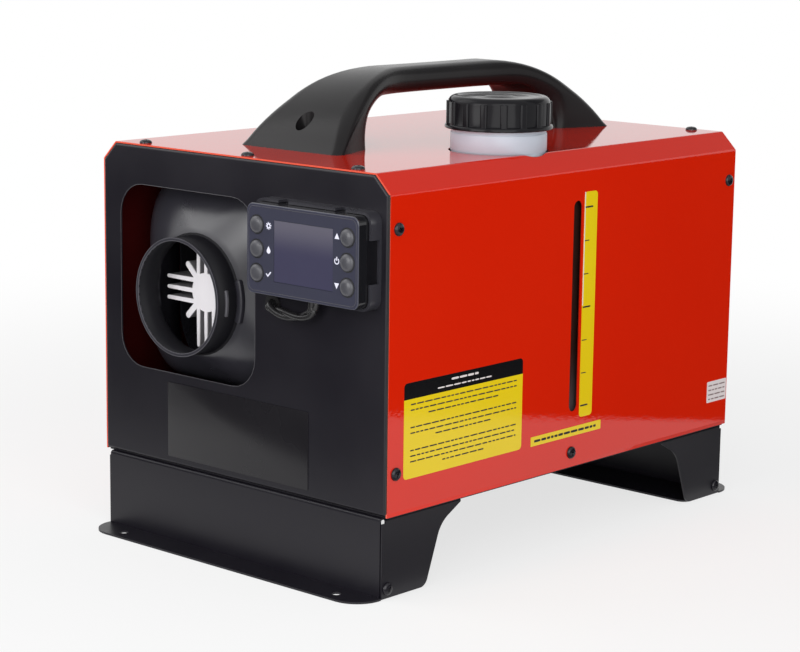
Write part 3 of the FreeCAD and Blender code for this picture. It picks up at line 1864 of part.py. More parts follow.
def controller_cable():
    """Lead that hangs in a loop below the controller, from the grommet to the case."""
    x, z = grommet_place()
    start = front + d.sheet + d.grommet_lip
    end_x, end_z = cable_end_x(), controller_z - d.controller_height / 2
    end_y = case_back() - d.controller_back_depth * 0.6
    low, turn_run, span = end_z - d.cable_sag, d.cable_turn, end_x - x
    points = [
        (x, start, z),
        (x, end_y + turn_run / 2, z),
        (x + turn_run, end_y, z - turn_run),
        (x + span / 4, end_y, low + d.cable_sag / 8),
        (x + span / 2, end_y, low),
        (end_x - span / 4, end_y, low + d.cable_sag / 8),
        (end_x, end_y, (low + end_z) / 2),
        (end_x, end_y, end_z),
    ]
    return tube("controller_cable", d.cable_radius, points)


# Build, check and write every piece


def build():
    pieces = [
        casing_wrap(),
        front_panel(),
        rear_panel(),
        floor_pan(),
        foot("front_foot", False),
        foot("rear_foot", True),
        foot_base("front_foot_base", False),
        foot_base("rear_foot_base", True),
        casing_screws(),
        foot_screws(),
        floor_bolts(),
        carry_handle(),
        handle_screws(),
        handle_nuts(),
        fuel_tank(),
        tank_pad(),
        tank_bracket(),
        filler_cap(),
        cap_seal(),
        fuel_filter(),
        fuel_pump(),
        filter_clip(),
        pump_clip(),
        tank_hose(),
        filter_hose(),
        pump_hose(),
        upper_shell(),
        lower_shell(),
        outlet_hood(),
        intake_cover(),
        heat_exchanger(),
        burner_tube(),
        glow_plug(),
        overheat_sensor(),
        control_board(),
        blower_case(),
        combustion_impeller(),
        blower_motor(),
        main_fan(),
        base_gasket(),
        heater_bridge(),
        exhaust_stub(),
        air_stub(),
        power_supply(),
        mains_inlet(),
        dc_socket(),
        controller_bracket(),
        bracket_screws(),
        controller_back(),
        controller_face(),
        display_window(),
        controller_board(),
        *buttons(),
        cable_grommet(),
        controller_cable(),
    ]
    doc.recompute()
    return pieces


def check(pieces):
    for feature in doc.Objects:
        if "Invalid" in feature.State or "Error" in feature.State:
            raise RuntimeError(f"{feature.Name} failed: {feature.State}")
    for piece in pieces:
        if piece.Shape.isNull() or not piece.Shape.isValid():
            raise RuntimeError(f"{piece.Label} has no valid shape")


def write(pieces):
    os.makedirs("parts", exist_ok=True)
    for piece in pieces:
        piece.Shape.exportStep(f"parts/{piece.Label}.step")


pieces = build()
check(pieces)
write(pieces)
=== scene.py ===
import json
import math

import bmesh
import bpy
from mathutils import Matrix, Vector


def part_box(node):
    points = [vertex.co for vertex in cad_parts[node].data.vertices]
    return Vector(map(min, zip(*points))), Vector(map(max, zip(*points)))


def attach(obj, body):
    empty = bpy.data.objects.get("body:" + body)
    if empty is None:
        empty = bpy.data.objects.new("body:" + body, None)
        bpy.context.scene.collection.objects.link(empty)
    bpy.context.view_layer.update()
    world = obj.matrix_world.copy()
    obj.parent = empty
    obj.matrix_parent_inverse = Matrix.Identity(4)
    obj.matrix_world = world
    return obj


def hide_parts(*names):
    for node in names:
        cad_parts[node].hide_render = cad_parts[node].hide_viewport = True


# Indirect-fired diesel heater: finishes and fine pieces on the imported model, in metres.
# Z is up, the front with the outlet faces -Y, the fuel sight slot is on the +X side.

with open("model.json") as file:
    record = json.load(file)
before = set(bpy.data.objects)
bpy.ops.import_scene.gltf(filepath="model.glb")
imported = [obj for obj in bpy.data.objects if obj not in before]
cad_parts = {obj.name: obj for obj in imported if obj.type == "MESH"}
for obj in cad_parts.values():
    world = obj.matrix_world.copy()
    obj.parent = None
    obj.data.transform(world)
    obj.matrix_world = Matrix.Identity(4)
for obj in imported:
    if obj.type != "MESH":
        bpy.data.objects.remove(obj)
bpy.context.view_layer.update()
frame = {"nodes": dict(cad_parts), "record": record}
nodes = frame["nodes"]
MM = 0.001
BODY = "heater"

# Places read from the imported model

wrap_low, wrap_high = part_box("casing_wrap")
panel_low, panel_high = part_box("front_panel")
hood_low, hood_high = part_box("outlet_hood")
face_low, face_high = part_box("controller_face")
window_low, window_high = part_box("display_window")
cap_low, cap_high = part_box("filler_cap")
side_face = wrap_high.x
front_face = panel_low.y
spout_axis = Vector(((hood_low.x + hood_high.x) / 2, 0, (hood_low.z + hood_high.z) / 2))
cap_axis = (cap_low + cap_high) / 2


# Small helpers for meshes


def millimetres(*values):
    return Vector([value * MM for value in values])


def new_object(name, mesh):
    piece = bpy.data.objects.new(name, mesh)
    bpy.context.scene.collection.objects.link(piece)
    return piece


def plain_mesh(piece):
    """The piece's mesh as its modifiers leave it."""
    bpy.context.view_layer.update()
    graph = bpy.context.evaluated_depsgraph_get()
    return bpy.data.meshes.new_from_object(piece.evaluated_get(graph))


def bake_modifiers(piece):
    mesh = plain_mesh(piece)
    piece.modifiers.clear()
    piece.data = mesh


def carve(piece, cutter, crossing=False):
    """Cuts a helper piece out of another; crossing says that the cutter's own parts overlap."""
    cut = piece.modifiers.new("cut", "BOOLEAN")
    cut.operation = "DIFFERENCE"
    cut.solver = "EXACT"
    cut.use_self = crossing
    cut.object = cutter
    bake_modifiers(piece)
    bpy.data.objects.remove(cutter)


def from_bmesh(name, form, smooth_angle=35):
    """A new object from a bmesh, with its normals outward and its soft edges smooth."""
    bmesh.ops.remove_doubles(form, verts=form.verts, dist=1e-7)
    bmesh.ops.recalc_face_normals(form, faces=form.faces)
    mesh = bpy.data.meshes.new(name)
    form.to_mesh(mesh)
    form.free()
    mesh.shade_smooth()
    mesh.set_sharp_from_angle(angle=math.radians(smooth_angle))
    return new_object(name, mesh)


def dress(piece, material=None, slot=None, body=BODY):
    """Gives a piece its finish (by default its slot's own) and its body."""
    piece.data.materials.clear()
    piece.data.materials.append(material or FINISHES[slot])
    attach(piece, body)
    return piece


def facing(direction):
    """Turn that lays a flat outline on a wall: its Z points along direction and its Y stays up."""
    z = Vector(direction).normalized()
    up = Vector((0, 1, 0)) if abs(z.z) > 0.9 else Vector((0, 0, 1))
    x = up.cross(z).normalized()
    y = z.cross(x)
    return Matrix((x, y, z)).transposed().to_4x4()


FRONTWARD = facing((0, -1, 0))
RIGHTWARD = facing((1, 0, 0))
UPWARD = facing((0, 0, 1))


def arc_points(radius, start, end, steps):
    """Points of an arc about the origin between two angles in degrees."""
    angles = [math.radians(start + (end - start) * step / steps) for step in range(steps + 1)]
    return [radius * Vector((math.cos(angle), math.sin(angle))) for angle in angles]


def rounded_outline(width, height, radius, steps=6):
    """Corner points of a rectangle round the origin with rounded corners."""
    points = []
    for quarter, (sx, sy) in enumerate(((1, 1), (-1, 1), (-1, -1), (1, -1))):
        centre = Vector((sx * (width / 2 - radius), sy * (height / 2 - radius)))
        points += [centre + point for point in arc_points(radius, 90 * quarter, 90 * quarter + 90, steps)]
    return points


def bridge(form, loops):
    """Joins each loop of points to the next by four-sided faces."""
    for near, far in zip(loops, loops[1:]):
        for index in range(len(near)):
            after = (index + 1) % len(near)
            form.faces.new((near[index], near[after], far[after], far[index]))


def slab(name, outline, thickness, edge=0.0):
    """A flat plate on z = 0 with a closed outline; edge is the bevel round its upper side."""
    form = bmesh.new()
    low = [form.verts.new((x, y, 0)) for x, y in outline]
    high = [form.verts.new((x, y, thickness)) for x, y in outline]
    form.faces.new(list(reversed(low)))
    top = form.faces.new(high)
    bridge(form, [low, high])
    if edge:
        bmesh.ops.bevel(form, geom=list(top.edges), offset=edge, segments=2, affect="EDGES", profile=0.6)
    return from_bmesh(name, form)


def lathe(name, profile, segments=64, smooth_angle=35):
    """A closed ring or solid turned about Z from its half section (radius, height) in millimetres."""
    form = bmesh.new()
    rings = []
    for radius, height in profile:
        points = arc_points(radius, 0, 360, segments)[:-1]
        rings.append([form.verts.new(millimetres(*point, height)) for point in points])
    if profile[0][0] and profile[-1][0]:
        rings.append(rings[0])
    bridge(form, rings)
    return from_bmesh(name, form, smooth_angle)


def strip(name, width, height, radius, line, thickness):
    """A line of even width round a rounded rectangle, standing on z = 0 with a rounded back."""
    section = ((0, 0), (0.15, 0.8), (0.5, 1), (0.85, 0.8), (1, 0))
    form = bmesh.new()
    loops = []
    for across, up in section:
        inset = 2 * line * across
        points = rounded_outline(width - inset, height - inset, radius - line * across)
        loops.append([form.verts.new((x, y, thickness * up)) for x, y in points])
    bridge(form, loops + loops[:1])
    return from_bmesh(name, form, 60)


def arc_bar(name, inner, outer, low, high, start, end, steps=14):
    """A block between two radii and two heights about Z, from one angle to another, with softened edges."""
    form = bmesh.new()
    corners = ((inner, low), (outer, low), (outer, high), (inner, high))
    rings = []
    for step in range(steps + 1):
        angle = math.radians(start + (end - start) * step / steps)
        turned = Vector((math.cos(angle), math.sin(angle)))
        rings.append([form.verts.new((*(turned * radius), height)) for radius, height in corners])
    bridge(form, rings)
    form.faces.new(rings[0])
    form.faces.new(rings[-1])
    bmesh.ops.recalc_face_normals(form, faces=form.faces)
    sharp = [edge for edge in form.edges if edge.calc_face_angle(0) > math.radians(60)]
    bmesh.ops.bevel(form, geom=sharp, offset=0.25 * (outer - inner), segments=2, affect="EDGES", profile=0.5)
    return from_bmesh(name, form, 50)


def place(piece, turn, where):
    """Puts a piece's place into its mesh."""
    piece.data.transform(Matrix.Translation(where) @ turn)
    piece.data.update()
    return piece


def merged(name, *pieces):
    """Joins helper pieces into one mesh."""
    form = bmesh.new()
    for piece in pieces:
        form.from_mesh(piece.data)
        bpy.data.objects.remove(piece)
    mesh = bpy.data.meshes.new(name)
    form.to_mesh(mesh)
    form.free()
    return new_object(name, mesh)


# Node helpers


def set_inputs(node, **values):
    """Sets inputs of a node; an underscore stands for a space in an input's name."""
    for name, value in values.items():
        node.inputs[name.replace("_", " ")].default_value = value


def new_tree(name, kind, inputs, outputs):
    """A node tree with these sockets (name and type), its input node and its output node."""
    tree = bpy.data.node_groups.new(name, kind)
    for side, sockets in (("INPUT", inputs), ("OUTPUT", outputs)):
        for label, what in sockets.items():
            tree.interface.new_socket(label, in_out=side, socket_type=f"NodeSocket{what}")
    return tree, tree.nodes.new("NodeGroupInput"), tree.nodes.new("NodeGroupOutput")


# Copies of one shape on many places


def copies_tree():
    inputs = {"Places": "Geometry", "Shape": "Object", "Spin": "Float", "Seed": "Int", "Finish": "Material"}
    tree, given, result = new_tree("copies_on_places", "GeometryNodeTree", inputs, {"Copies": "Geometry"})
    add, link = tree.nodes.new, tree.links.new
    shape = add("GeometryNodeObjectInfo")
    turn = add("GeometryNodeInputNamedAttribute")
    stretch = add("GeometryNodeInputNamedAttribute")
    for node, name in ((turn, "turn"), (stretch, "stretch")):
        node.data_type = "FLOAT_VECTOR"
        set_inputs(node, Name=name)
    chance = add("FunctionNodeRandomValue")
    spin = add("ShaderNodeCombineXYZ")
    base = add("FunctionNodeEulerToRotation")
    extra = add("FunctionNodeEulerToRotation")
    rotate = add("FunctionNodeRotateRotation")
    rotate.rotation_space = "LOCAL"
    lay = add("GeometryNodeInstanceOnPoints")
    real = add("GeometryNodeRealizeInstances")
    paint = add("GeometryNodeSetMaterial")
    link(given.outputs["Shape"], shape.inputs["Object"])
    link(given.outputs["Spin"], chance.inputs[3])
    link(given.outputs["Seed"], chance.inputs["Seed"])
    link(chance.outputs[1], spin.inputs["Z"])
    link(turn.outputs["Attribute"], base.inputs[0])
    link(spin.outputs[0], extra.inputs[0])
    link(base.outputs[0], rotate.inputs["Rotation"])
    link(extra.outputs[0], rotate.inputs["Rotate By"])
    link(given.outputs["Places"], lay.inputs["Points"])
    link(shape.outputs["Geometry"], lay.inputs["Instance"])
    link(rotate.outputs[0], lay.inputs["Rotation"])
    link(stretch.outputs["Attribute"], lay.inputs["Scale"])
    link(lay.outputs["Instances"], real.inputs["Geometry"])
    link(real.outputs["Geometry"], paint.inputs["Geometry"])
    link(given.outputs["Finish"], paint.inputs["Material"])
    link(paint.outputs["Geometry"], result.inputs["Copies"])
    return tree


COPIES = copies_tree()


def copies(name, shape, places, material, slot=None, body=BODY, spin=0.0, seed=3):
    """One plain mesh with the shape on every place (point, turn, stretch)."""
    mesh = bpy.data.meshes.new(name)
    mesh.from_pydata([point for point, _, _ in places], [], [])
    turns = mesh.attributes.new("turn", "FLOAT_VECTOR", "POINT")
    stretches = mesh.attributes.new("stretch", "FLOAT_VECTOR", "POINT")
    for row, (_, turn, stretch) in enumerate(places):
        turns.data[row].vector = turn.to_3x3().to_euler()
        stretches.data[row].vector = stretch
    piece = new_object(name, mesh)
    modifier = piece.modifiers.new("copies", "NODES")
    modifier.node_group = COPIES
    given = {"Shape": shape, "Spin": spin, "Seed": seed, "Finish": material}
    for socket in COPIES.interface.items_tree:
        if socket.in_out == "INPUT" and socket.name in given:
            modifier[socket.identifier] = given[socket.name]
    bake_modifiers(piece)
    bpy.data.objects.remove(shape)
    piece.data.set_sharp_from_angle(angle=math.radians(35))
    return dress(piece, material, slot, body)


# Finishes under construction


def noise_group():
    """Broad shading and fine grain on Object coordinates, used by every finish."""
    inputs = {"Fine size": "Float", "Broad size": "Float"}
    outputs = {"Fine": "Float", "Broad": "Float"}
    tree, given, result = new_tree("surface_grain", "ShaderNodeTree", inputs, outputs)
    where = tree.nodes.new("ShaderNodeTexCoord")
    for name, detail in (("Fine", 2.0), ("Broad", 3.0)):
        grain = tree.nodes.new("ShaderNodeTexNoise")
        set_inputs(grain, Detail=detail)
        tree.links.new(where.outputs["Object"], grain.inputs["Vector"])
        tree.links.new(given.outputs[f"{name} size"], grain.inputs["Scale"])
        tree.links.new(grain.outputs["Fac"], result.inputs[name])
    return tree


def band_group():
    """Mask that rises from 0 at Low to 1 at High along one Object axis."""
    inputs = {"Axis": "Vector", "Low": "Float", "High": "Float"}
    tree, given, result = new_tree("object_band", "ShaderNodeTree", inputs, {"Mask": "Float"})
    add, link = tree.nodes.new, tree.links.new
    where = add("ShaderNodeTexCoord")
    along = add("ShaderNodeVectorMath")
    along.operation = "DOT_PRODUCT"
    ramp = add("ShaderNodeMapRange")
    ramp.interpolation_type = "SMOOTHSTEP"
    link(where.outputs["Object"], along.inputs[0])
    link(given.outputs["Axis"], along.inputs[1])
    link(along.outputs["Value"], ramp.inputs["Value"])
    link(given.outputs["Low"], ramp.inputs["From Min"])
    link(given.outputs["High"], ramp.inputs["From Max"])
    link(ramp.outputs["Result"], result.inputs["Mask"])
    return tree


GRAIN = noise_group()
BAND = band_group()


class Finish:
    """A material under construction: a Principled shader with grain on its colour, gloss and relief."""

    def __init__(self, name, dark, light, rough, fine=900.0, broad=9.0, relief=0.0, metal=0.0):
        self.material = bpy.data.materials.new(name)
        self.material.use_nodes = True
        self.tree = self.material.node_tree
        self.shader = self.tree.nodes["Principled BSDF"]
        self.set(Metallic=metal)
        self.grain = self.group(GRAIN)
        set_inputs(self.grain, Fine_size=fine, Broad_size=broad)
        self.colour = self.blend(self.grain.outputs["Broad"], dark, light)
        self.rough = self.ramp(self.grain.outputs["Broad"], 0.3, 0.7, rough[0], rough[1])
        if relief:
            bump = self.add("ShaderNodeBump")
            set_inputs(bump, Distance=relief)
            self.link(self.grain.outputs["Fine"], bump.inputs["Height"])
            self.link(bump.outputs["Normal"], self.shader.inputs["Normal"])

    def add(self, kind):
        return self.tree.nodes.new(kind)

    def link(self, start, end):
        self.tree.links.new(start, end)

    def group(self, tree):
        made = self.add("ShaderNodeGroup")
        made.node_tree = tree
        return made

    def blend(self, factor, first, second):
        """Colour between two colours, either of which may be a socket."""
        mix = self.add("ShaderNodeMix")
        mix.data_type = "RGBA"
        self.link(factor, mix.inputs["Factor"])
        for value, socket in ((first, mix.inputs[6]), (second, mix.inputs[7])):
            if isinstance(value, tuple):
                socket.default_value = (*value, 1.0)
            else:
                self.link(value, socket)
        return mix.outputs[2]

    def ramp(self, value, low, high, start, end):
        made = self.add("ShaderNodeMapRange")
        set_inputs(made, From_Min=low, From_Max=high, To_Min=start, To_Max=end)
        self.link(value, made.inputs["Value"])
        return made.outputs["Result"]

    def band(self, axis, low, high):
        made = self.group(BAND)
        set_inputs(made, Axis=axis, Low=low, High=high)
        return made.outputs["Mask"]

    def larger(self, first, second):
        """The larger of two masks."""
        made = self.add("ShaderNodeMath")
        made.operation = "MAXIMUM"
        self.link(first, made.inputs[0])
        self.link(second, made.inputs[1])
        return made.outputs[0]

    def tint(self, mask, colour):
        """Lays a colour over the finish where the mask is 1."""
        self.colour = self.blend(mask, self.colour, colour)
        return self

    def set(self, **values):
        set_inputs(self.shader, **values)
        return self

    def done(self):
        self.link(self.colour, self.shader.inputs["Base Color"])
        self.link(self.rough, self.shader.inputs["Roughness"])
        return self.material


# Finishes

LABEL_HEAD = wrap_low.z + 80 * MM
CHAMFER = 14 * MM


def red_paint_finish():
    """Glossy red powder coat with painted shade on the inside of the sheet and a painted highlight on its cut
    ends.
    """
    made = Finish(
        "red_gloss_paint", (0.62, 0.012, 0.0008), (0.66, 0.017, 0.0016), (0.03, 0.05), 300, 5, 3.5e-5
    )
    skin = 0.6 * MM
    slope = 0.7071
    outside, *others = [
        made.band(axis, plane - 1.5 * skin, plane - skin)
        for axis, plane in (
            ((1, 0, 0), wrap_high.x),
            ((-1, 0, 0), -wrap_low.x),
            ((0, 0, 1), wrap_high.z),
            ((slope, 0, slope), slope * (wrap_high.x + wrap_high.z - CHAMFER)),
            ((-slope, 0, slope), slope * (wrap_high.z - wrap_low.x - CHAMFER)),
        )
    ]
    for face in others:
        outside = made.larger(outside, face)
    # Painted shade: away from its outer faces the sheet is made dark red.
    made.colour = made.blend(outside, (0.05, 0.004, 0.004), made.colour)
    # Painted highlight: the cut ends at the front and back of the sheet are made paler.
    edge = 0.03 * MM
    for sign, end in ((-1, -wrap_low.y), (1, wrap_high.y)):
        made.tint(made.band((0, sign, 0), end - 2 * edge, end - edge), (0.70, 0.10, 0.06))
    return made.done()


def coat(name, dark, light, rough, fine, broad, relief=0.0, metal=0.0, shine=0.5):
    """A finish with nothing laid over its grain."""
    return Finish(name, dark, light, rough, fine, broad, relief, metal).set(Specular_IOR_Level=shine).done()


def black_paint(name, rough, relief):
    return coat(name, (0.006, 0.0051, 0.0086), (0.0088, 0.0076, 0.012), rough, 1300, 14, relief, shine=0.38)


def tank_finish():
    """Milky plastic, grey where it stands out of the cover, with painted shade behind the sight slot that is
    darkest above.
    """
    made = Finish("milky_tank_plastic", (0.70, 0.70, 0.74), (0.80, 0.80, 0.84), (0.32, 0.42), 500, 20, 8e-6)
    tank_low, tank_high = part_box("fuel_tank")
    shade_depth, skin = 90 * MM, 4 * MM
    # Painted shade behind the sight slot: dark from 90 mm up, greyer towards the bottom.
    above = made.band((0, 0, 1), tank_low.z, tank_low.z + shade_depth)
    slot_shade = made.blend(above, (0.13, 0.115, 0.125), (0.032, 0.012, 0.009))
    made.tint(made.band((1, 0, 0), tank_high.x - 3 * skin, tank_high.x - skin), slot_shade)
    made.tint(made.band((0, 0, 1), wrap_high.z - 2 * skin, wrap_high.z - skin), (0.49, 0.53, 0.60))
    return made.set(Subsurface_Weight=0.15, Subsurface_Radius=(0.004, 0.004, 0.004)).done()


def screen_finish():
    """Grey glass with a painted reflection that makes it lighter towards its upper edge."""
    low, high, dark_share = window_low.z, window_high.z, 0.45
    made = Finish("display_glass", (0.044, 0.042, 0.076), (0.048, 0.046, 0.082), (0.06, 0.1), 700, 30)
    # Painted reflection: the upper part of the glass is made lighter.
    made.tint(made.band((0, 0, 1), low + dark_share * (high - low), high), (0.105, 0.10, 0.13))
    return made.set(Coat_Weight=0.3).done()


def controller_finish():
    """Black gloss case with a blue-black front."""
    made = Finish(
        "controller_gloss_plastic", (0.007, 0.007, 0.009), (0.010, 0.010, 0.012), (0.1, 0.16), 900, 20, 2e-6
    )
    skin = 0.2 * MM
    front = made.band((0, -1, 0), -face_low.y - 4 * skin, -face_low.y - skin)
    made.tint(front, (0.040, 0.041, 0.062))
    return made.done()


def cast_finish():
    """Cast aluminium, bright on the front faces of its fins, with painted shade on their sides and on all
    that lies behind them.
    """
    made = Finish("cast_aluminium", (0.86, 0.83, 0.86), (0.95, 0.92, 0.95), (0.42, 0.55), 1400, 40, 3e-5, 0.1)
    fin_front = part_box("heat_exchanger")[0].y
    shade_start, shade_end = fin_front + 0.5 * MM, fin_front + 1.2 * MM
    # Painted shade: everything behind the front faces of the fins is made dark grey.
    made.tint(made.band((0, 1, 0), shade_start, shade_end), (0.26, 0.25, 0.265))
    return made.done()


def yellow_finish(name):
    """Smooth printed film; its shine is weaker than the paint's."""
    made = Finish(name, (0.74, 0.55, 0.006), (0.80, 0.60, 0.010), (0.10, 0.14), 900, 12, 2e-6)
    return made.set(Specular_IOR_Level=0.35)


def label_finish():
    """Yellow film with a black head."""
    made = yellow_finish("yellow_label_film")
    blur = 0.05 * MM
    made.tint(made.band((0, 0, 1), LABEL_HEAD - blur, LABEL_HEAD + blur), (0.006, 0.006, 0.007))
    return made.done()


FINISHES = {
    "red_paint": red_paint_finish(),
    "black_paint": black_paint("black_satin_paint", (0.34, 0.42), 6e-6),
    "screw_black": black_paint("black_screw_coat", (0.16, 0.26), 3e-6),
    "steel": coat("zinc_steel", (0.46, 0.46, 0.47), (0.6, 0.6, 0.61), (0.28, 0.42), 700, 30, 6e-6, 1.0),
    "cast_aluminium": cast_finish(),
    "handle_plastic": coat(
        "moulded_handle_plastic", (0.0095, 0.0088, 0.0095), (0.013, 0.0122, 0.013),
        (0.2, 0.28), 1700, 16, 1.2e-5, shine=0.16,
    ),
    "hood_plastic": coat(
        "moulded_hood_plastic", (0.024, 0.023, 0.03), (0.031, 0.03, 0.038),
        (0.26, 0.34), 1500, 16, 8e-6, shine=0.9,
    ),
    "black_plastic": coat(
        "black_gloss_plastic", (0.006, 0.0058, 0.0072), (0.009, 0.0086, 0.0105),
        (0.12, 0.2), 900, 18, 4e-6, shine=0.14,
    ),
    "tank_plastic": tank_finish(),
    "rubber": coat(
        "black_rubber", (0.01, 0.0095, 0.01), (0.017, 0.016, 0.017), (0.32, 0.44), 1500, 30, 1e-5
    ),
    "hose": coat("green_hose", (0.07, 0.2, 0.09), (0.1, 0.26, 0.12), (0.3, 0.4), 900, 40, 4e-6),
    "button_grey": coat(
        "grey_button_rubber", (0.05, 0.05, 0.058), (0.066, 0.066, 0.076), (0.26, 0.34), 2400, 60, 3e-6
    ),
    "screen": screen_finish(),
    "circuit": coat(
        "green_circuit_board", (0.01, 0.1, 0.035), (0.02, 0.16, 0.06), (0.3, 0.45), 900, 60, 4e-6
    ),
}
RIB_PLASTIC = coat(
    "moulded_rib_plastic", (0.021, 0.02, 0.027), (0.028, 0.027, 0.035), (0.34, 0.42), 1500, 16, 8e-6
)
# Darker copy of the hood plastic for the spout: painted shade.
SHADED_SPOUT_PLASTIC = coat(
    "spout_plastic_painted_shade", (0.006, 0.0058, 0.0078), (0.008, 0.0077, 0.01),
    (0.45, 0.55), 1500, 16, 8e-6, shine=0.15,
)
# Paler plastic for painted highlights on the rim's lines and the lock ribs.
RIB_HIGHLIGHT_PLASTIC = coat("rib_plastic_painted_highlight", (0.08, 0.078, 0.09), (0.11, 0.107, 0.12), (0.34, 0.42), 1500, 60, 8e-6)
CABLE_SHEATH = coat(
    "glossy_cable_sheath", (0.012, 0.0115, 0.0125), (0.017, 0.0165, 0.0175), (0.22, 0.3), 900, 30, 3e-6
)
# Pale grey for painted highlights on edges.
EDGE_HIGHLIGHT = coat("edge_painted_highlight", (0.04, 0.038, 0.044), (0.07, 0.067, 0.074), (0.25, 0.35), 900, 60)
WHITE_FILM = coat("white_label_film", (0.7, 0.64, 0.64), (0.77, 0.71, 0.71), (0.4, 0.5), 900, 30, 2e-6)
PLATE_FILM = coat(
    "black_gloss_plate_film", (0.0085, 0.0078, 0.0095), (0.013, 0.012, 0.0145),
    (0.2, 0.3), 160, 12, 1.2e-5, shine=0.3,
)
CONTROLLER_FACE = controller_finish()
LABEL_FILM = label_finish()
YELLOW_FILM = yellow_finish("yellow_scale_film").done()
PRINT_GREY = coat("grey_print", (0.2, 0.14, 0.14), (0.28, 0.21, 0.21), (0.4, 0.5), 900, 60)
# Black for print, and for painted shade in the panel gap, round the buttons and in the vent slits.
PRINT_AND_SHADE_BLACK = coat("black_print_and_painted_shade", (0.01, 0.01, 0.011), (0.018, 0.018, 0.019), (0.4, 0.5), 900, 60)
PRINT_PALE = coat("pale_print", (0.66, 0.66, 0.78), (0.74, 0.74, 0.86), (0.4, 0.5), 900, 60)

for part in frame["record"]["subparts"]:
    node = nodes[part["node"]]
    node.data.materials.clear()
    node.data.materials.append(FINISHES[part["material_slot"]])
nodes["controller_face"].data.materials[0] = CONTROLLER_FACE


# Screws with a cross recess on every screw of the box

SCREW_HEIGHT = 2.6


def screw_shape():
    """Pan head with a cross recess, standing on z = 0."""
    profile = [(0, 0), (4.8, 0), (4.8, 0.5), (4.55, 1.2), (3.9, 1.85), (3.0, 2.3), (1.9, 2.52)]
    profile.append((0, SCREW_HEIGHT))
    head = lathe("screw_head", profile, 28, 50)
    form = bmesh.new()
    recess_floor, recess_mouth = (1.35, 0.36, 1.1), (2.5, 0.62, 3.2)
    for angle in (0, 90):
        turn = Matrix.Rotation(math.radians(angle), 3, "Z")
        slot = bmesh.ops.create_cube(form, size=2.0)["verts"]
        for vert in slot:
            length, width, height = recess_mouth if vert.co.z > 0 else recess_floor
            vert.co = millimetres(math.copysign(length, vert.co.x), math.copysign(width, vert.co.y), height)
        bmesh.ops.rotate(form, verts=slot, cent=(0, 0, 0), matrix=turn)
    carve(head, from_bmesh("screw_recess", form), crossing=True)
    return head


def islands(node):
    """Boxes (lowest corner, highest corner) of the separate solids of a node."""
    form = bmesh.new()
    form.from_mesh(node.data)
    bmesh.ops.remove_doubles(form, verts=form.verts, dist=1e-6)
    seen, boxes = set(), []
    for start in form.verts:
        if start in seen:
            continue
        group, stack = [], [start]
        seen.add(start)
        while stack:
            vert = stack.pop()
            group.append(vert.co.copy())
            for edge in vert.link_edges:
                other = edge.other_vert(vert)
                if other not in seen:
                    seen.add(other)
                    stack.append(other)
        low = Vector([min(co[axis] for co in group) for axis in range(3)])
        high = Vector([max(co[axis] for co in group) for axis in range(3)])
        boxes.append((low, high))
    form.free()
    return boxes


def screw_places(name):
    """Where the heads of a screw node stand, and which way they face."""
    found = []
    for low, high in islands(nodes[name]):
        size = high - low
        axis = min(range(3), key=lambda index: size[index])
        middle = (low + high) / 2
        outward = 1 if middle[axis] > (0 if axis < 2 else wrap_low.z) else -1
        direction = Vector((0, 0, 0))
        direction[axis] = outward
        middle[axis] = (high[axis] if outward > 0 else low[axis]) - outward * SCREW_HEIGHT * MM
        found.append((middle, facing(direction), (1, 1, 1)))
    return found


for name in ("casing_screws", "foot_screws"):
    heads = copies(
        f"cross_{name}", screw_shape(), screw_places(name), FINISHES["screw_black"], "screw_black", spin=3.0
    )
    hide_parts(name)

# Stickers on the right side: plain film, rows of plain dashes and a scale

FILM = 0.15 * MM
PRINT = 0.05 * MM


def side_place(y, z, lift=0.0):
    """A point on the right side: y along it and z above the sheet's lower edge, in millimetres."""
    return Vector((side_face + lift, y * MM, wrap_low.z + z * MM))


def side_film(name, start, end, low, high, material, corner=1.0):
    film = slab(name, rounded_outline((end - start) * MM, (high - low) * MM, corner * MM), FILM)
    place(film, RIGHTWARD, side_place((start + end) / 2, (low + high) / 2))
    return dress(film, material)


def unit_bar(name):
    """A bar one millimetre long and high, to be stretched."""
    return slab(name, rounded_outline(1 * MM, 1 * MM, 0.2 * MM, 2), PRINT)


def dashes(start, end, height, line, seed):
    """A row of dashes of uneven length from start to end."""
    shortest, spread, gap = 3.0, 2.6, 1.1
    found = []
    y = start
    while y < end - 2:
        length = min(shortest + spread * (1 + math.sin(7.1 * len(found) + 3.7 * seed)), end - y)
        found.append((side_place(y + length / 2, height, FILM), RIGHTWARD, (length, line, 1)))
        y += length + gap
    return found


def yellow_label():
    """A large film with a black head and three blocks of dashes, each with a short last row."""
    start, end, low, high = -194.0, -61.5, 22.0, 92.0
    first_row, row_step, block_step = 76.0, 4.1, 4.5
    margin, last_margin, margin_step = 7.0, 26.0, 8.0
    side_film("yellow_label", start, end, low, high, LABEL_FILM, corner=3.2)
    rows = []
    height = first_row
    for block, count in enumerate((3, 3, 4)):
        for row in range(count):
            inset = margin if row < count - 1 else last_margin + margin_step * block
            rows += dashes(start + inset, end - inset, height, 1.0, 5 * block + row)
            height -= row_step
        height -= block_step
    copies("yellow_label_rows", unit_bar("dash"), rows, PRINT_AND_SHADE_BLACK)
    head = dashes(-143.0, -113.0, 88.3, 1.5, 2) + dashes(-158.0, -98.0, 83.6, 1.0, 7)
    copies("yellow_label_head_rows", unit_bar("dash"), head, WHITE_FILM)


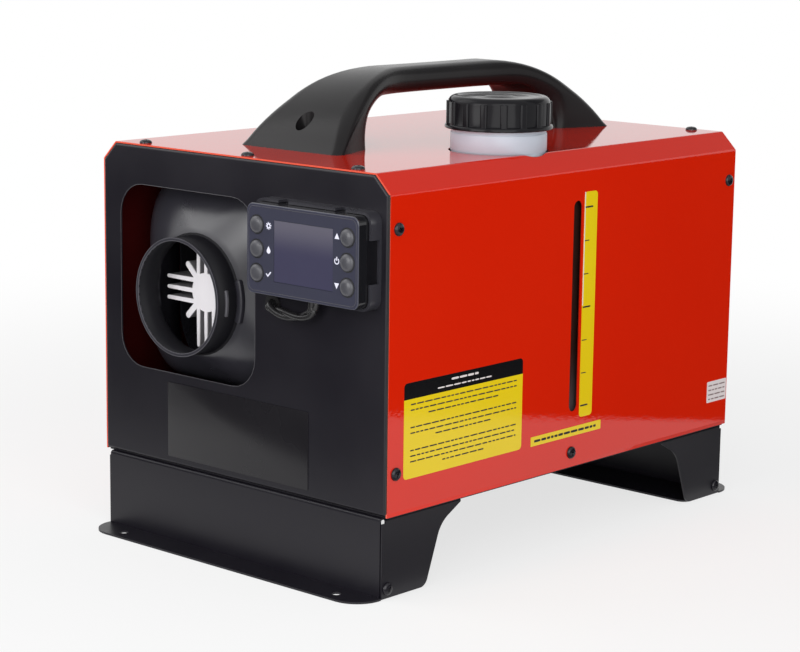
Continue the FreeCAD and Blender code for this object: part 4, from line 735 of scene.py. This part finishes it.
def scale_film():
    """The scale beside the sight slot: seven marks, of which every third is bold."""
    start, end, low, high = 8.8, 24.8, 35.0, 210.5
    top_mark, step = 198.7, 25.8
    side_film("scale_film", start, end, low, high, YELLOW_FILM, corner=3.0)
    marks = []
    for mark in range(7):
        bold = mark % 3 == 0
        length, line = (9.5, 1.3) if bold else (6.0, 0.8)
        height = top_mark - mark * step
        marks.append((side_place(start + 1 + length / 2, height, FILM), RIGHTWARD, (length, line, 1)))
    copies("scale_marks", unit_bar("mark"), marks, PRINT_AND_SHADE_BLACK)
    middle = (low + high) / 2
    edge = slab("scale_edge_strip", rounded_outline(1.0 * MM, (high - middle) * MM, 0.3 * MM), PRINT)
    place(edge, RIGHTWARD, side_place(start + 0.7, (middle + high) / 2, FILM))
    dress(edge, WHITE_FILM)


def small_films():
    """A yellow strip with one row of dashes and a white sticker with four."""
    side_film("yellow_strip", -50.0, 36.8, 21.6, 28.9, YELLOW_FILM, corner=0.5)
    copies("yellow_strip_row", unit_bar("dash"), dashes(-46.0, 33.0, 25.2, 1.9, 4), PRINT_AND_SHADE_BLACK)
    side_film("white_sticker", 182.0, 209.5, 18.8, 36.5, WHITE_FILM)
    first_row, row_step = 32.9, 3.8
    rows = []
    for row in range(4):
        rows += dashes(184.0, 207.5, first_row - row_step * row, 1.1, row)
    copies("white_sticker_rows", unit_bar("dash"), rows, PRINT_GREY)


yellow_label()
scale_film()
small_films()

# Front panel and cover: blank plate, painted highlight on the edge of the opening, hems and a bead of painted
# shade beside the panel


def front_plate():
    """Blank plate under the opening."""
    left, right, low, high, corner = -77.0, 73.0, 3.5, 62.0, 1.0
    outline = rounded_outline((right - left) * MM, (high - low) * MM, corner * MM)
    plate = slab("front_plate", outline, 0.3 * MM, 0.1 * MM)
    where = millimetres((left + right) / 2, 0, (low + high) / 2) + Vector((0, front_face, wrap_low.z))
    dress(place(plate, FRONTWARD, where), PLATE_FILM)


def opening_edge():
    """Painted highlight on the edge of the opening, a line that lies outside its outline."""
    width, height, radius, middle = 147.0, 141.5, 24.0, 204.0
    line, lift = -0.45, 0.2
    bead = strip("opening_edge", width * MM, height * MM, radius * MM, line * MM, lift * MM)
    where = Vector((spout_axis.x, front_face, middle * MM))
    dress(place(bead, FRONTWARD, where), EDGE_HIGHLIGHT)


def casing_hem():
    """Folded lower edge of the red cover, on both sides."""
    height, wall, length = 2.8 * MM, 1.4 * MM, wrap_high.y - wrap_low.y
    hems = []
    for side in (wrap_low.x + wall / 2, wrap_high.x - wall / 2):
        hem = slab("hem", rounded_outline(wall, length, 0.1 * MM, 2), height)
        hems.append(place(hem, UPWARD, Vector((side, 0, wrap_low.z - height))))
    dress(merged("casing_hem", *hems), slot="red_paint")


def panel_gap():
    """Dark bead of painted shade between the front panel and the right side's cut edge."""
    width, low, high = 1.0 * MM, wrap_low.z, wrap_high.z - CHAMFER
    outline = rounded_outline(width, high - low, 0.3 * MM)
    bead = slab("panel_gap_bead", outline, wrap_low.y - front_face, 0.2 * MM)
    where = Vector((panel_high.x + width / 2, wrap_low.y, (low + high) / 2))
    dress(place(bead, FRONTWARD, where), PRINT_AND_SHADE_BLACK)


front_plate()
opening_edge()
casing_hem()
panel_gap()

# Outlet: hood, rim with two lines, lock ribs and lock blocks

SPOUT_RADIUS = 45.0


def lofted(name, loops, closed_ends=True):
    """A skin over loops of equally many points."""
    form = bmesh.new()
    rings = [[form.verts.new(point) for point in loop] for loop in loops]
    bridge(form, rings)
    if closed_ends:
        form.faces.new(rings[0])
        form.faces.new(rings[-1])
    return from_bmesh(name, form, 40)


def hood_loop(y, left, right, up, down, corner):
    """A rounded rectangle round the spout's axis, in millimetres from it."""
    middle = Vector(((right - left) / 2, (up - down) / 2))
    points = [middle + point for point in rounded_outline(left + right, up + down, corner, 10)]
    return [spout_axis + millimetres(x, y, z) for x, z in points]


def moulded_hood():
    """Hood that slopes from the round spout to a rounded rectangle; its wall has one thickness."""
    wall, steps = 2.2, 10
    tip, spout_end, foot, flare = -221.5, -201.0, -200.9, 2.0
    loops = []
    for y, swell in ((tip, 0), (-202.6, 0), (-201.6, 0.3), (-201.1, 0.9), (foot, flare)):
        radius = SPOUT_RADIUS + swell
        loops.append(hood_loop(y, radius, radius, radius, radius, radius))
    start, end = SPOUT_RADIUS + flare, (76.0, 75.0, 82.0, 72.0)
    corner, slope_depth, edge_depth = 36.0, 19.0, 5.0
    for step in range(1, steps + 1):
        share = step / steps
        sides = [start + (side - start) * share for side in end]
        depth = foot + slope_depth * share + edge_depth * share ** 6
        loops.append(hood_loop(depth, *sides, start + (corner - start) * share))
    skirt, skirt_corner = (77.0, 76.0, 83.0, 75.0), 38.0
    for y in (-166.0, hood_high.y / MM):
        loops.append(hood_loop(y, *skirt, skirt_corner))
    hood = lofted("moulded_hood", loops, closed_ends=False)
    skin = hood.modifiers.new("wall", "SOLIDIFY")
    skin.thickness = wall * MM
    skin.offset = -1
    bake_modifiers(hood)
    dress(hood, slot="hood_plastic")
    hood.data.materials.append(SHADED_SPOUT_PLASTIC)
    # The spout's faces take the darker copy of the hood plastic, painted shade.
    for face in hood.data.polygons:
        face.material_index = 1 if face.center.y < spout_end * MM else 0
    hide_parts("outlet_hood")


def outlet_details():
    """Slim rim with two lines of painted highlight, and a lock rib with painted highlight and a lock block on
    two sides of the spout.
    """
    outer, inner, segments = SPOUT_RADIUS, 42.8, 96
    rim_centre = Vector((spout_axis.x, hood_low.y, spout_axis.z))
    profile = [(inner - 0.1, -1.0), (inner - 0.1, 0.1), (inner + 0.3, 0.3)]
    profile += [(outer - 0.3, 0.3), (outer + 0.2, 0.1), (outer + 0.2, -1.0)]
    rim = lathe("spout_rim", profile, segments, 50)
    dress(place(rim, FRONTWARD, rim_centre), RIB_PLASTIC, "hood_plastic")
    lines = []
    for middle in (inner + 0.1, outer - 0.1):
        profile = [(middle - 0.3, 0.0), (middle - 0.2, 0.4), (middle + 0.2, 0.4), (middle + 0.3, 0.0)]
        lines.append(lathe("line", profile, segments, 50))
    dress(place(merged("spout_rim_lines", *lines), FRONTWARD, rim_centre), RIB_HIGHLIGHT_PLASTIC, "hood_plastic")
    sunk = outer - 0.5
    for name, finish, y, reach, low, high, spread in (
        ("spout_lock_ribs", RIB_HIGHLIGHT_PLASTIC, -212.9, 1.7, -1.3, 1.3, 12.5),
        ("spout_lock_blocks", RIB_PLASTIC, -204.0, 5.5, -6.5, -1.0, 20.0),
    ):
        bars = []
        for turned in (0, 180):
            bar = (sunk * MM, (outer + reach) * MM, low * MM, high * MM, turned - spread, turned + spread)
            bars.append(arc_bar("bar", *bar))
        where = Vector((spout_axis.x, y * MM, spout_axis.z))
        dress(place(merged(name, *bars), FRONTWARD, where), finish, "hood_plastic")


moulded_hood()
outlet_details()

# Carry handle

HANDLE_X, HANDLE_Y = -5.0, 10.0


def handle_half_width(y):
    """The feet flare out from a grip of even width."""
    grip, slope, flare, blend = 16.6, 0.18, 62.8, 18.0
    beyond = abs(y - HANDLE_Y) - flare
    return grip + slope * (beyond + math.hypot(beyond, blend))


def handle_section(outer, inner, radius):
    """Loop of the handle between a point (y, z) of its outer line and one of its inner line."""
    thickness = (outer - inner).length
    halves = [handle_half_width(point.x) for point in (inner, outer)]
    width = sum(halves)
    loop = []
    for across, up in rounded_outline(width, thickness, min(radius, 0.48 * thickness), 8):
        share = 0.5 + up / thickness
        half = halves[0] + (halves[1] - halves[0]) * share
        spot = inner.lerp(outer, share)
        loop.append(millimetres(HANDLE_X + across / width * 2 * half, spot.x, spot.y))
    return loop


def moulded_handle():
    """Handle skinned over its sections from the front foot to the rear foot, with two screw bores."""
    back, back_radius, back_start, back_end = Vector((-46.0, 231.0)), 132.0, 56.45, 10.5
    arch, arch_radius, arch_start, arch_end = Vector((-70.0, 307.5)), 35.0, -3.3, 90.0
    foot_corner, grip_corner, swell = 8.0, 9.5, 4.0
    stations = []
    steps = 16
    for step in range(steps + 1):
        share = step / steps
        lean = math.radians(back_start + (back_end - back_start) * share)
        outer = back + back_radius * Vector((-math.sin(lean), math.cos(lean)))
        turn = math.radians(arch_start + (arch_end - arch_start) * share)
        inner = arch + arch_radius * Vector((-math.cos(turn), math.sin(turn)))
        corner = foot_corner + (grip_corner - foot_corner) * share + swell * math.sin(math.pi * share)
        stations.append((outer, inner, corner))
    for point in stations[0][:2]:
        point.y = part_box("carry_handle")[0].z / MM
    for y in (-62.0, -54.0, -46.0, -30.0, -10.0):
        top = back.y + math.sqrt(back_radius ** 2 - min(y - back.x, 0) ** 2)
        stations.append((Vector((y, top)), Vector((y, arch.y + arch_radius)), grip_corner))
    mirrored = []
    for *points, corner in reversed(stations):
        mirrored.append((*(Vector((2 * HANDLE_Y - point.x, point.y)) for point in points), corner))
    handle = lofted("moulded_handle", [handle_section(*station) for station in stations + mirrored])
    bore_radius, bore_floor, bore_top = 7.0, 312.5, 350.0
    profile = [(0, bore_floor), (bore_radius, bore_floor), (bore_radius, bore_top), (0, bore_top)]
    bores = []
    for y in (-137.0, 157.0):
        bores.append(place(lathe("bore", profile, 40), UPWARD, millimetres(HANDLE_X, y, 0)))
    carve(handle, merged("handle_bores", *bores))
    handle.data.shade_smooth()
    handle.data.set_sharp_from_angle(angle=math.radians(40))
    dress(handle, slot="handle_plastic")
    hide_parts("carry_handle")


moulded_handle()

# Controller: border of painted highlight, signs, domed buttons with rings of painted shade, and vent slits in
# painted shade

BUTTONS = ("settings", "prime", "confirm", "up", "power", "down")


def gear_outline():
    teeth, tip, root, bore = 8, 2.8, 1.9, 0.95
    points = []
    for tooth in range(teeth):
        for shift, radius in ((0.02, tip), (0.36, tip), (0.46, root), (0.9, root)):
            angle = 2 * math.pi * (tooth + shift) / teeth
            points.append((radius * math.cos(angle), radius * math.sin(angle)))
    return points + arc_points(bore, -2.25, -357.75, 16)


def drop_outline():
    tip, belly, radius = Vector((0, 3.0)), Vector((0, -0.6)), 1.9
    return [belly + point for point in arc_points(radius, -210, 30, 16)] + [tip]


def power_outline():
    return arc_points(2.4, 125, 415, 20) + arc_points(1.6, 415, 125, 20)


TICK = [(-2.6, 0.1), (-1.9, 0.8), (-0.7, -0.5), (2.0, 2.3), (2.7, 1.6), (-0.7, -2.0)]
POINT_UP = [(-2.3, -2.0), (2.3, -2.0), (0, 2.2)]
POINT_DOWN = [(-2.3, 2.0), (0, -2.2), (2.3, 2.0)]
POWER_BAR = [(-0.45, 0.3), (0.45, 0.3), (0.45, 3.0), (-0.45, 3.0)]


def button_dome(name):
    """Domed rubber button that stands for its plain solid and rides on its body."""
    low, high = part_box(name)
    radius, foot, shoulder, dome_height, steps = 6.2, -1.6, 0.3, 2.7, 8
    profile = [(0, foot), (radius, foot), (radius, shoulder)]
    for step in range(1, steps):
        angle = math.radians(90 * step / steps)
        profile.append((radius * math.cos(angle), shoulder + dome_height * math.sin(angle)))
    profile.append((0, shoulder + dome_height))
    dome = lathe(f"dome_{name}", profile, 40, 60)
    where = Vector(((low.x + high.x) / 2, face_low.y, (low.z + high.z) / 2))
    dress(place(dome, FRONTWARD, where), slot="button_grey", body=name)
    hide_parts(name)
    return where


def sign(name, outlines, where):
    parts = [slab(name, [Vector(point) * MM for point in outline], PRINT) for outline in outlines]
    dress(place(merged(f"sign_{name}", *parts), FRONTWARD, where), PRINT_PALE)


def controller_details():
    """Buttons with their signs and rings of painted shade in their gaps, a line of painted highlight round
    the face and vent slits on top in painted shade.
    """
    signs = {
        "settings": [gear_outline()],
        "prime": [drop_outline()],
        "confirm": [TICK],
        "up": [POINT_UP],
        "power": [power_outline(), POWER_BAR],
        "down": [POINT_DOWN],
    }
    left_signs, right_signs = 52.8 * MM, 119.9 * MM
    rings = []
    for name in BUTTONS:
        middle = button_dome(f"button_{name}")
        x = left_signs if middle.x < (face_low.x + face_high.x) / 2 else right_signs
        sign(name, signs[name], Vector((x, face_low.y, middle.z)))
        rings.append((middle, FRONTWARD, (1, 1, 1)))
    # Painted shade: flat black rings in the gaps round the buttons.
    inner, outer, lift = 6.3, 7.1, 0.06
    ring = lathe("gap_ring", [(inner, 0), (inner, lift), (outer, lift), (outer, 0)], 40)
    copies("button_gap_rings", ring, rings, PRINT_AND_SHADE_BLACK)
    # Painted highlight: a pale line round the face.
    size = face_high - face_low
    inset, corner, line, lift = 2 * MM, 5.0 * MM, 0.35 * MM, 0.12 * MM
    border = strip("controller_border", size.x - 2 * inset, size.z - 2 * inset, corner, line, lift)
    middle = (face_low + face_high) / 2
    dress(place(border, FRONTWARD, Vector((middle.x, face_low.y, middle.z))), EDGE_HIGHLIGHT)
    # Painted shade: flat black bars stand for the vent slits on top.
    slits = []
    first_slit, slit_step, slit_depth = 11.0 * MM, 2.3 * MM, 4.2 * MM
    slit_size = (0.9, 4.0, 1)
    for slit in range(6):
        where = Vector((face_high.x - first_slit - slit_step * slit, face_low.y + slit_depth, face_high.z))
        slits.append((where, UPWARD, slit_size))
    copies("controller_vent_slits", unit_bar("slit"), slits, PRINT_AND_SHADE_BLACK)


controller_details()

# Twisted cable under the controller


def route_points():
    """The cable's way from the grommet to the controller, in millimetres."""
    out = -219.7
    run = [(37.5, -208.3, 202.05), (37.5, -217.2, 202.05), (41.0, out, 200.0), (49.0, out, 197.9)]
    run += [(60.0, out, 196.2), (74.0, out, 196.9), (86.0, out, 202.25), (86.0, out, 211.75)]
    return [millimetres(*point) for point in run]


def smooth_curve(name, points, radius=0.0):
    """A smooth curve with these control points, a tube where it has a radius."""
    data = bpy.data.curves.new(name, "CURVE")
    data.dimensions = "3D"
    data.bevel_depth = radius
    data.bevel_resolution = 5
    data.use_fill_caps = True
    spline = data.splines.new("NURBS")
    spline.points.add(len(points) - 1)
    for control, point in zip(spline.points, points):
        control.co = (*point, 1)
    spline.order_u = 3
    spline.use_endpoint_u = True
    spline.resolution_u = 8
    return new_object(name, data)


def twisted_cable():
    """Two strands wound round the cable's way."""
    guide = smooth_curve("cable_guide", route_points())
    way = [vert.co.copy() for vert in plain_mesh(guide).vertices]
    bpy.data.objects.remove(guide)
    turns, spread, radius, thickness = 1.4, 1.6 * MM, 2.4 * MM, 5.6 * MM
    strands = []
    for strand in range(2):
        points = []
        for index, point in enumerate(way):
            ahead = (way[min(index + 1, len(way) - 1)] - way[max(index - 1, 0)]).normalized()
            aside = Vector((0.3, 0, 1)) if abs(ahead.z) < 0.9 else Vector((1, 0, 0))
            across = ahead.cross(aside).normalized()
            other = ahead.cross(across)
            angle = math.pi * strand + 2 * math.pi * turns * index / (len(way) - 1)
            points.append(point + spread * (math.cos(angle) * across + math.sin(angle) * other))
        curve = smooth_curve(f"strand_{strand}", points, radius)
        mesh = plain_mesh(curve)
        bpy.data.objects.remove(curve)
        strands.append(new_object(f"strand_{strand}", mesh))
    cable = merged("twisted_controller_cable", *strands)
    cable.data.shade_smooth()
    dress(cable, CABLE_SHEATH, "rubber")
    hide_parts("controller_cable")


twisted_cable()

# Filler: collar of the neck and turned cap with its bars


def filler_details():
    """Collar of the tank's neck, and a turned cap with bars round it."""
    inner, outer, top = 36.0, 36.6, 319.5
    base = wrap_high.z / MM + 0.2
    height = top - base
    profile = [(inner, 0), (inner + 0.4, 0), (outer, 0.3), (outer, height - 0.9)]
    profile += [(outer - 0.1, height - 0.4), (outer - 0.3, height), (inner, height)]
    where = Vector((cap_axis.x, cap_axis.y, base * MM))
    collar = place(lathe("neck_collar", profile, 96, 40), UPWARD, where)
    dress(collar, slot="tank_plastic")
    bore, wall, rim, height = 36.6, 38.6, 41.0, (cap_high.z - cap_low.z) / MM
    roof, shoulder, steps, dish = 3.2, 5.4, 8, height - 0.9
    profile = [(0, height - roof), (bore, height - roof), (bore, 0), (rim - 0.5, 0), (rim, 0.5), (rim, 2.0)]
    profile += [(rim - 0.4, 2.7), (wall + 0.5, 3.3), (wall, 3.9)]
    for step in range(steps + 1):
        angle = math.radians(90 * step / steps)
        profile.append((wall - shoulder * (1 - math.cos(angle)), height - shoulder * (1 - math.sin(angle))))
    profile += [(31.8, height - 0.15), (30.8, height - 0.7), (29.0, dish), (11.5, dish)]
    profile += [(11.0, dish + 0.3), (10.0, dish + 0.3), (9.5, dish), (0, dish)]
    middle = Vector((cap_axis.x, cap_axis.y, cap_low.z))
    turned_cap = place(lathe("turned_cap", profile, 96, 40), UPWARD, middle)
    dress(turned_cap, slot="black_plastic", body="cap")
    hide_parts("filler_cap")
    count, sunk, foot = 16, 0.6, 2.4
    bars = []
    for bar in range(count):
        turn = Matrix.Rotation(2 * math.pi * bar / count, 4, "Z")
        bars.append((middle + turn @ millimetres(wall - sunk, 0, foot), turn, (1, 1, 1)))
    outline = rounded_outline(3.9 * MM, 5.6 * MM, 1.3 * MM)
    shape = slab("bar", outline, (height - shoulder - 1.2) * MM, 1.0 * MM)
    copies("cap_bars", shape, bars, FINISHES["black_plastic"], "black_plastic", "cap")


filler_details()

# Stage


def add_camera():
    """The photograph's camera: focal length and image width in pixels, place in metres, angles in degrees."""
    focal, width = 2324.63, 800
    where = (1.2169, -1.3887, 0.5018)
    azimuth, height, roll = (math.radians(value) for value in (41.896, 10.751, 0.766))
    data = bpy.data.cameras.new("photo_camera")
    data.sensor_fit = "HORIZONTAL"
    data.sensor_width = 36.0
    data.lens = data.sensor_width * focal / width
    data.clip_end = 50.0
    camera = new_object("photo_camera", data)
    level = math.cos(height)
    back = Vector((math.sin(azimuth) * level, -math.cos(azimuth) * level, math.sin(height)))
    right = Vector((math.cos(azimuth), math.sin(azimuth), 0))
    turn = Matrix((right, back.cross(right), back)).transposed() @ Matrix.Rotation(roll, 3, "Z")
    camera.matrix_world = Matrix.Translation(where) @ turn.to_4x4()
    bpy.context.scene.camera = camera


def seen_mask(tree):
    """1 for rays from the camera, from gloss and through glass, and 0 for the rest."""
    path = tree.nodes.new("ShaderNodeLightPath")
    total = path.outputs["Is Camera Ray"]
    for name in ("Is Glossy Ray", "Is Transmission Ray"):
        add = tree.nodes.new("ShaderNodeMath")
        add.operation = "ADD"
        add.use_clamp = True
        tree.links.new(total, add.inputs[0])
        tree.links.new(path.outputs[name], add.inputs[1])
        total = add.outputs[0]
    return total


def add_world(ambient):
    """White where it is seen, and only as strong as ambient for the light it gives."""
    world = bpy.data.worlds.new("studio")
    bpy.context.scene.world = world
    world.use_nodes = True
    tree = world.node_tree
    strength = tree.nodes.new("ShaderNodeMapRange")
    set_inputs(strength, To_Min=ambient, To_Max=1.0)
    tree.links.new(seen_mask(tree), strength.inputs["Value"])
    sky = tree.nodes["Background"]
    set_inputs(sky, Color=(1, 1, 1, 1))
    tree.links.new(strength.outputs["Result"], sky.inputs["Strength"])


def sheet(name, corners):
    """A single four-sided face."""
    mesh = bpy.data.meshes.new(name)
    mesh.from_pydata(corners, [], [(0, 1, 2, 3)])
    return new_object(name, mesh)


def add_floor():
    """Pale floor that keeps the object's shadow and turns white further away."""
    half, level = 8.0, -0.2 * MM
    floor = sheet("floor", [(x * half, y * half, level) for x, y in ((-1, -1), (1, -1), (1, 1), (-1, 1))])
    material = bpy.data.materials.new("pale_floor")
    material.use_nodes = True
    tree = material.node_tree
    add, link = tree.nodes.new, tree.links.new
    matt = tree.nodes["Principled BSDF"]
    set_inputs(matt, Base_Color=(0.86, 0.86, 0.86, 1), Roughness=0.9, Specular_IOR_Level=0.0)
    white = add("ShaderNodeEmission")
    set_inputs(white, Color=(1, 1, 1, 1))
    mix = add("ShaderNodeMixShader")
    where = add("ShaderNodeTexCoord")
    away = add("ShaderNodeVectorMath")
    away.operation = "LENGTH"
    share = add("ShaderNodeMapRange")
    share.interpolation_type = "SMOOTHSTEP"
    set_inputs(share, From_Min=0.45, From_Max=1.3, To_Min=0.72, To_Max=1.0)
    seen = add("ShaderNodeMath")
    seen.operation = "MULTIPLY"
    link(where.outputs["Object"], away.inputs[0])
    link(away.outputs["Value"], share.inputs["Value"])
    link(share.outputs["Result"], seen.inputs[0])
    link(seen_mask(tree), seen.inputs[1])
    link(seen.outputs[0], mix.inputs["Fac"])
    link(matt.outputs["BSDF"], mix.inputs[1])
    link(white.outputs["Emission"], mix.inputs[2])
    link(mix.outputs["Shader"], tree.nodes["Material Output"].inputs["Surface"])
    floor.data.materials.append(material)


def add_lamp(name, where, size, watts):
    """A square softbox that points at the middle of the object."""
    target = (0, 0, 0.2)
    data = bpy.data.lights.new(name, "AREA")
    data.shape = "SQUARE"
    data.size = size
    data.energy = watts
    lamp = new_object(name, data)
    direction = Vector(target) - Vector(where)
    lamp.matrix_world = Matrix.Translation(where) @ direction.to_track_quat("-Z", "Y").to_matrix().to_4x4()


def upright(start, end, low, start_high, end_high):
    """Corners of a standing card from its ends (x, y), its foot and the height of each end."""
    return [(*start, low), (*end, low), (*end, end_high), (*start, start_high)]


def add_card(name, corners, shade):
    """A card that only gloss sees, as the dark sides of a studio or, lying by the legs, as painted shadow."""
    card = sheet(name, corners)
    material = bpy.data.materials.new(name)
    material.use_nodes = True
    glow = material.node_tree.nodes["Principled BSDF"]
    set_inputs(glow, Base_Color=(0, 0, 0, 1), Specular_IOR_Level=0.0)
    set_inputs(glow, Emission_Color=(shade, shade, shade, 1), Emission_Strength=1.0)
    card.data.materials.append(material)
    for ray in ("camera", "diffuse", "transmission", "volume_scatter", "shadow"):
        setattr(card, f"visible_{ray}", False)


add_camera()
add_world(ambient=0.5)
add_floor()
add_lamp("key_softbox", (1.75, -1.4, 1.0), 2.1, 30.8)
add_lamp("fill_softbox", (-1.35, -0.95, 1.6), 1.4, 8)
add_lamp("front_softbox", (-0.15, -2.3, 0.85), 1.3, 20)
add_card("right_dark_card", upright((0.985, -0.167), (0.204, 0.5345), 0.0, 0.2, 0.285), 0.02)
add_card("front_dark_card", upright((-0.95, -0.41), (0.06, -0.41), 0.0, 0.3, 0.3), 0.02)
add_card("rear_grey_card", upright((-0.1, 1.0), (1.3, 1.0), 0.8, 2.1, 2.1), 0.34)
# Painted shadow: a grey card lying by the legs that gloss sees in place of the floor beside them.
lying = [(x, y, 0.5 * MM) for x, y in ((0.16, -0.3), (0.27, -0.3), (0.27, 0.5), (0.16, 0.5))]
add_card("leg_dark_card", lying, 0.3)
bpy.context.scene.view_settings.view_transform = "Standard"
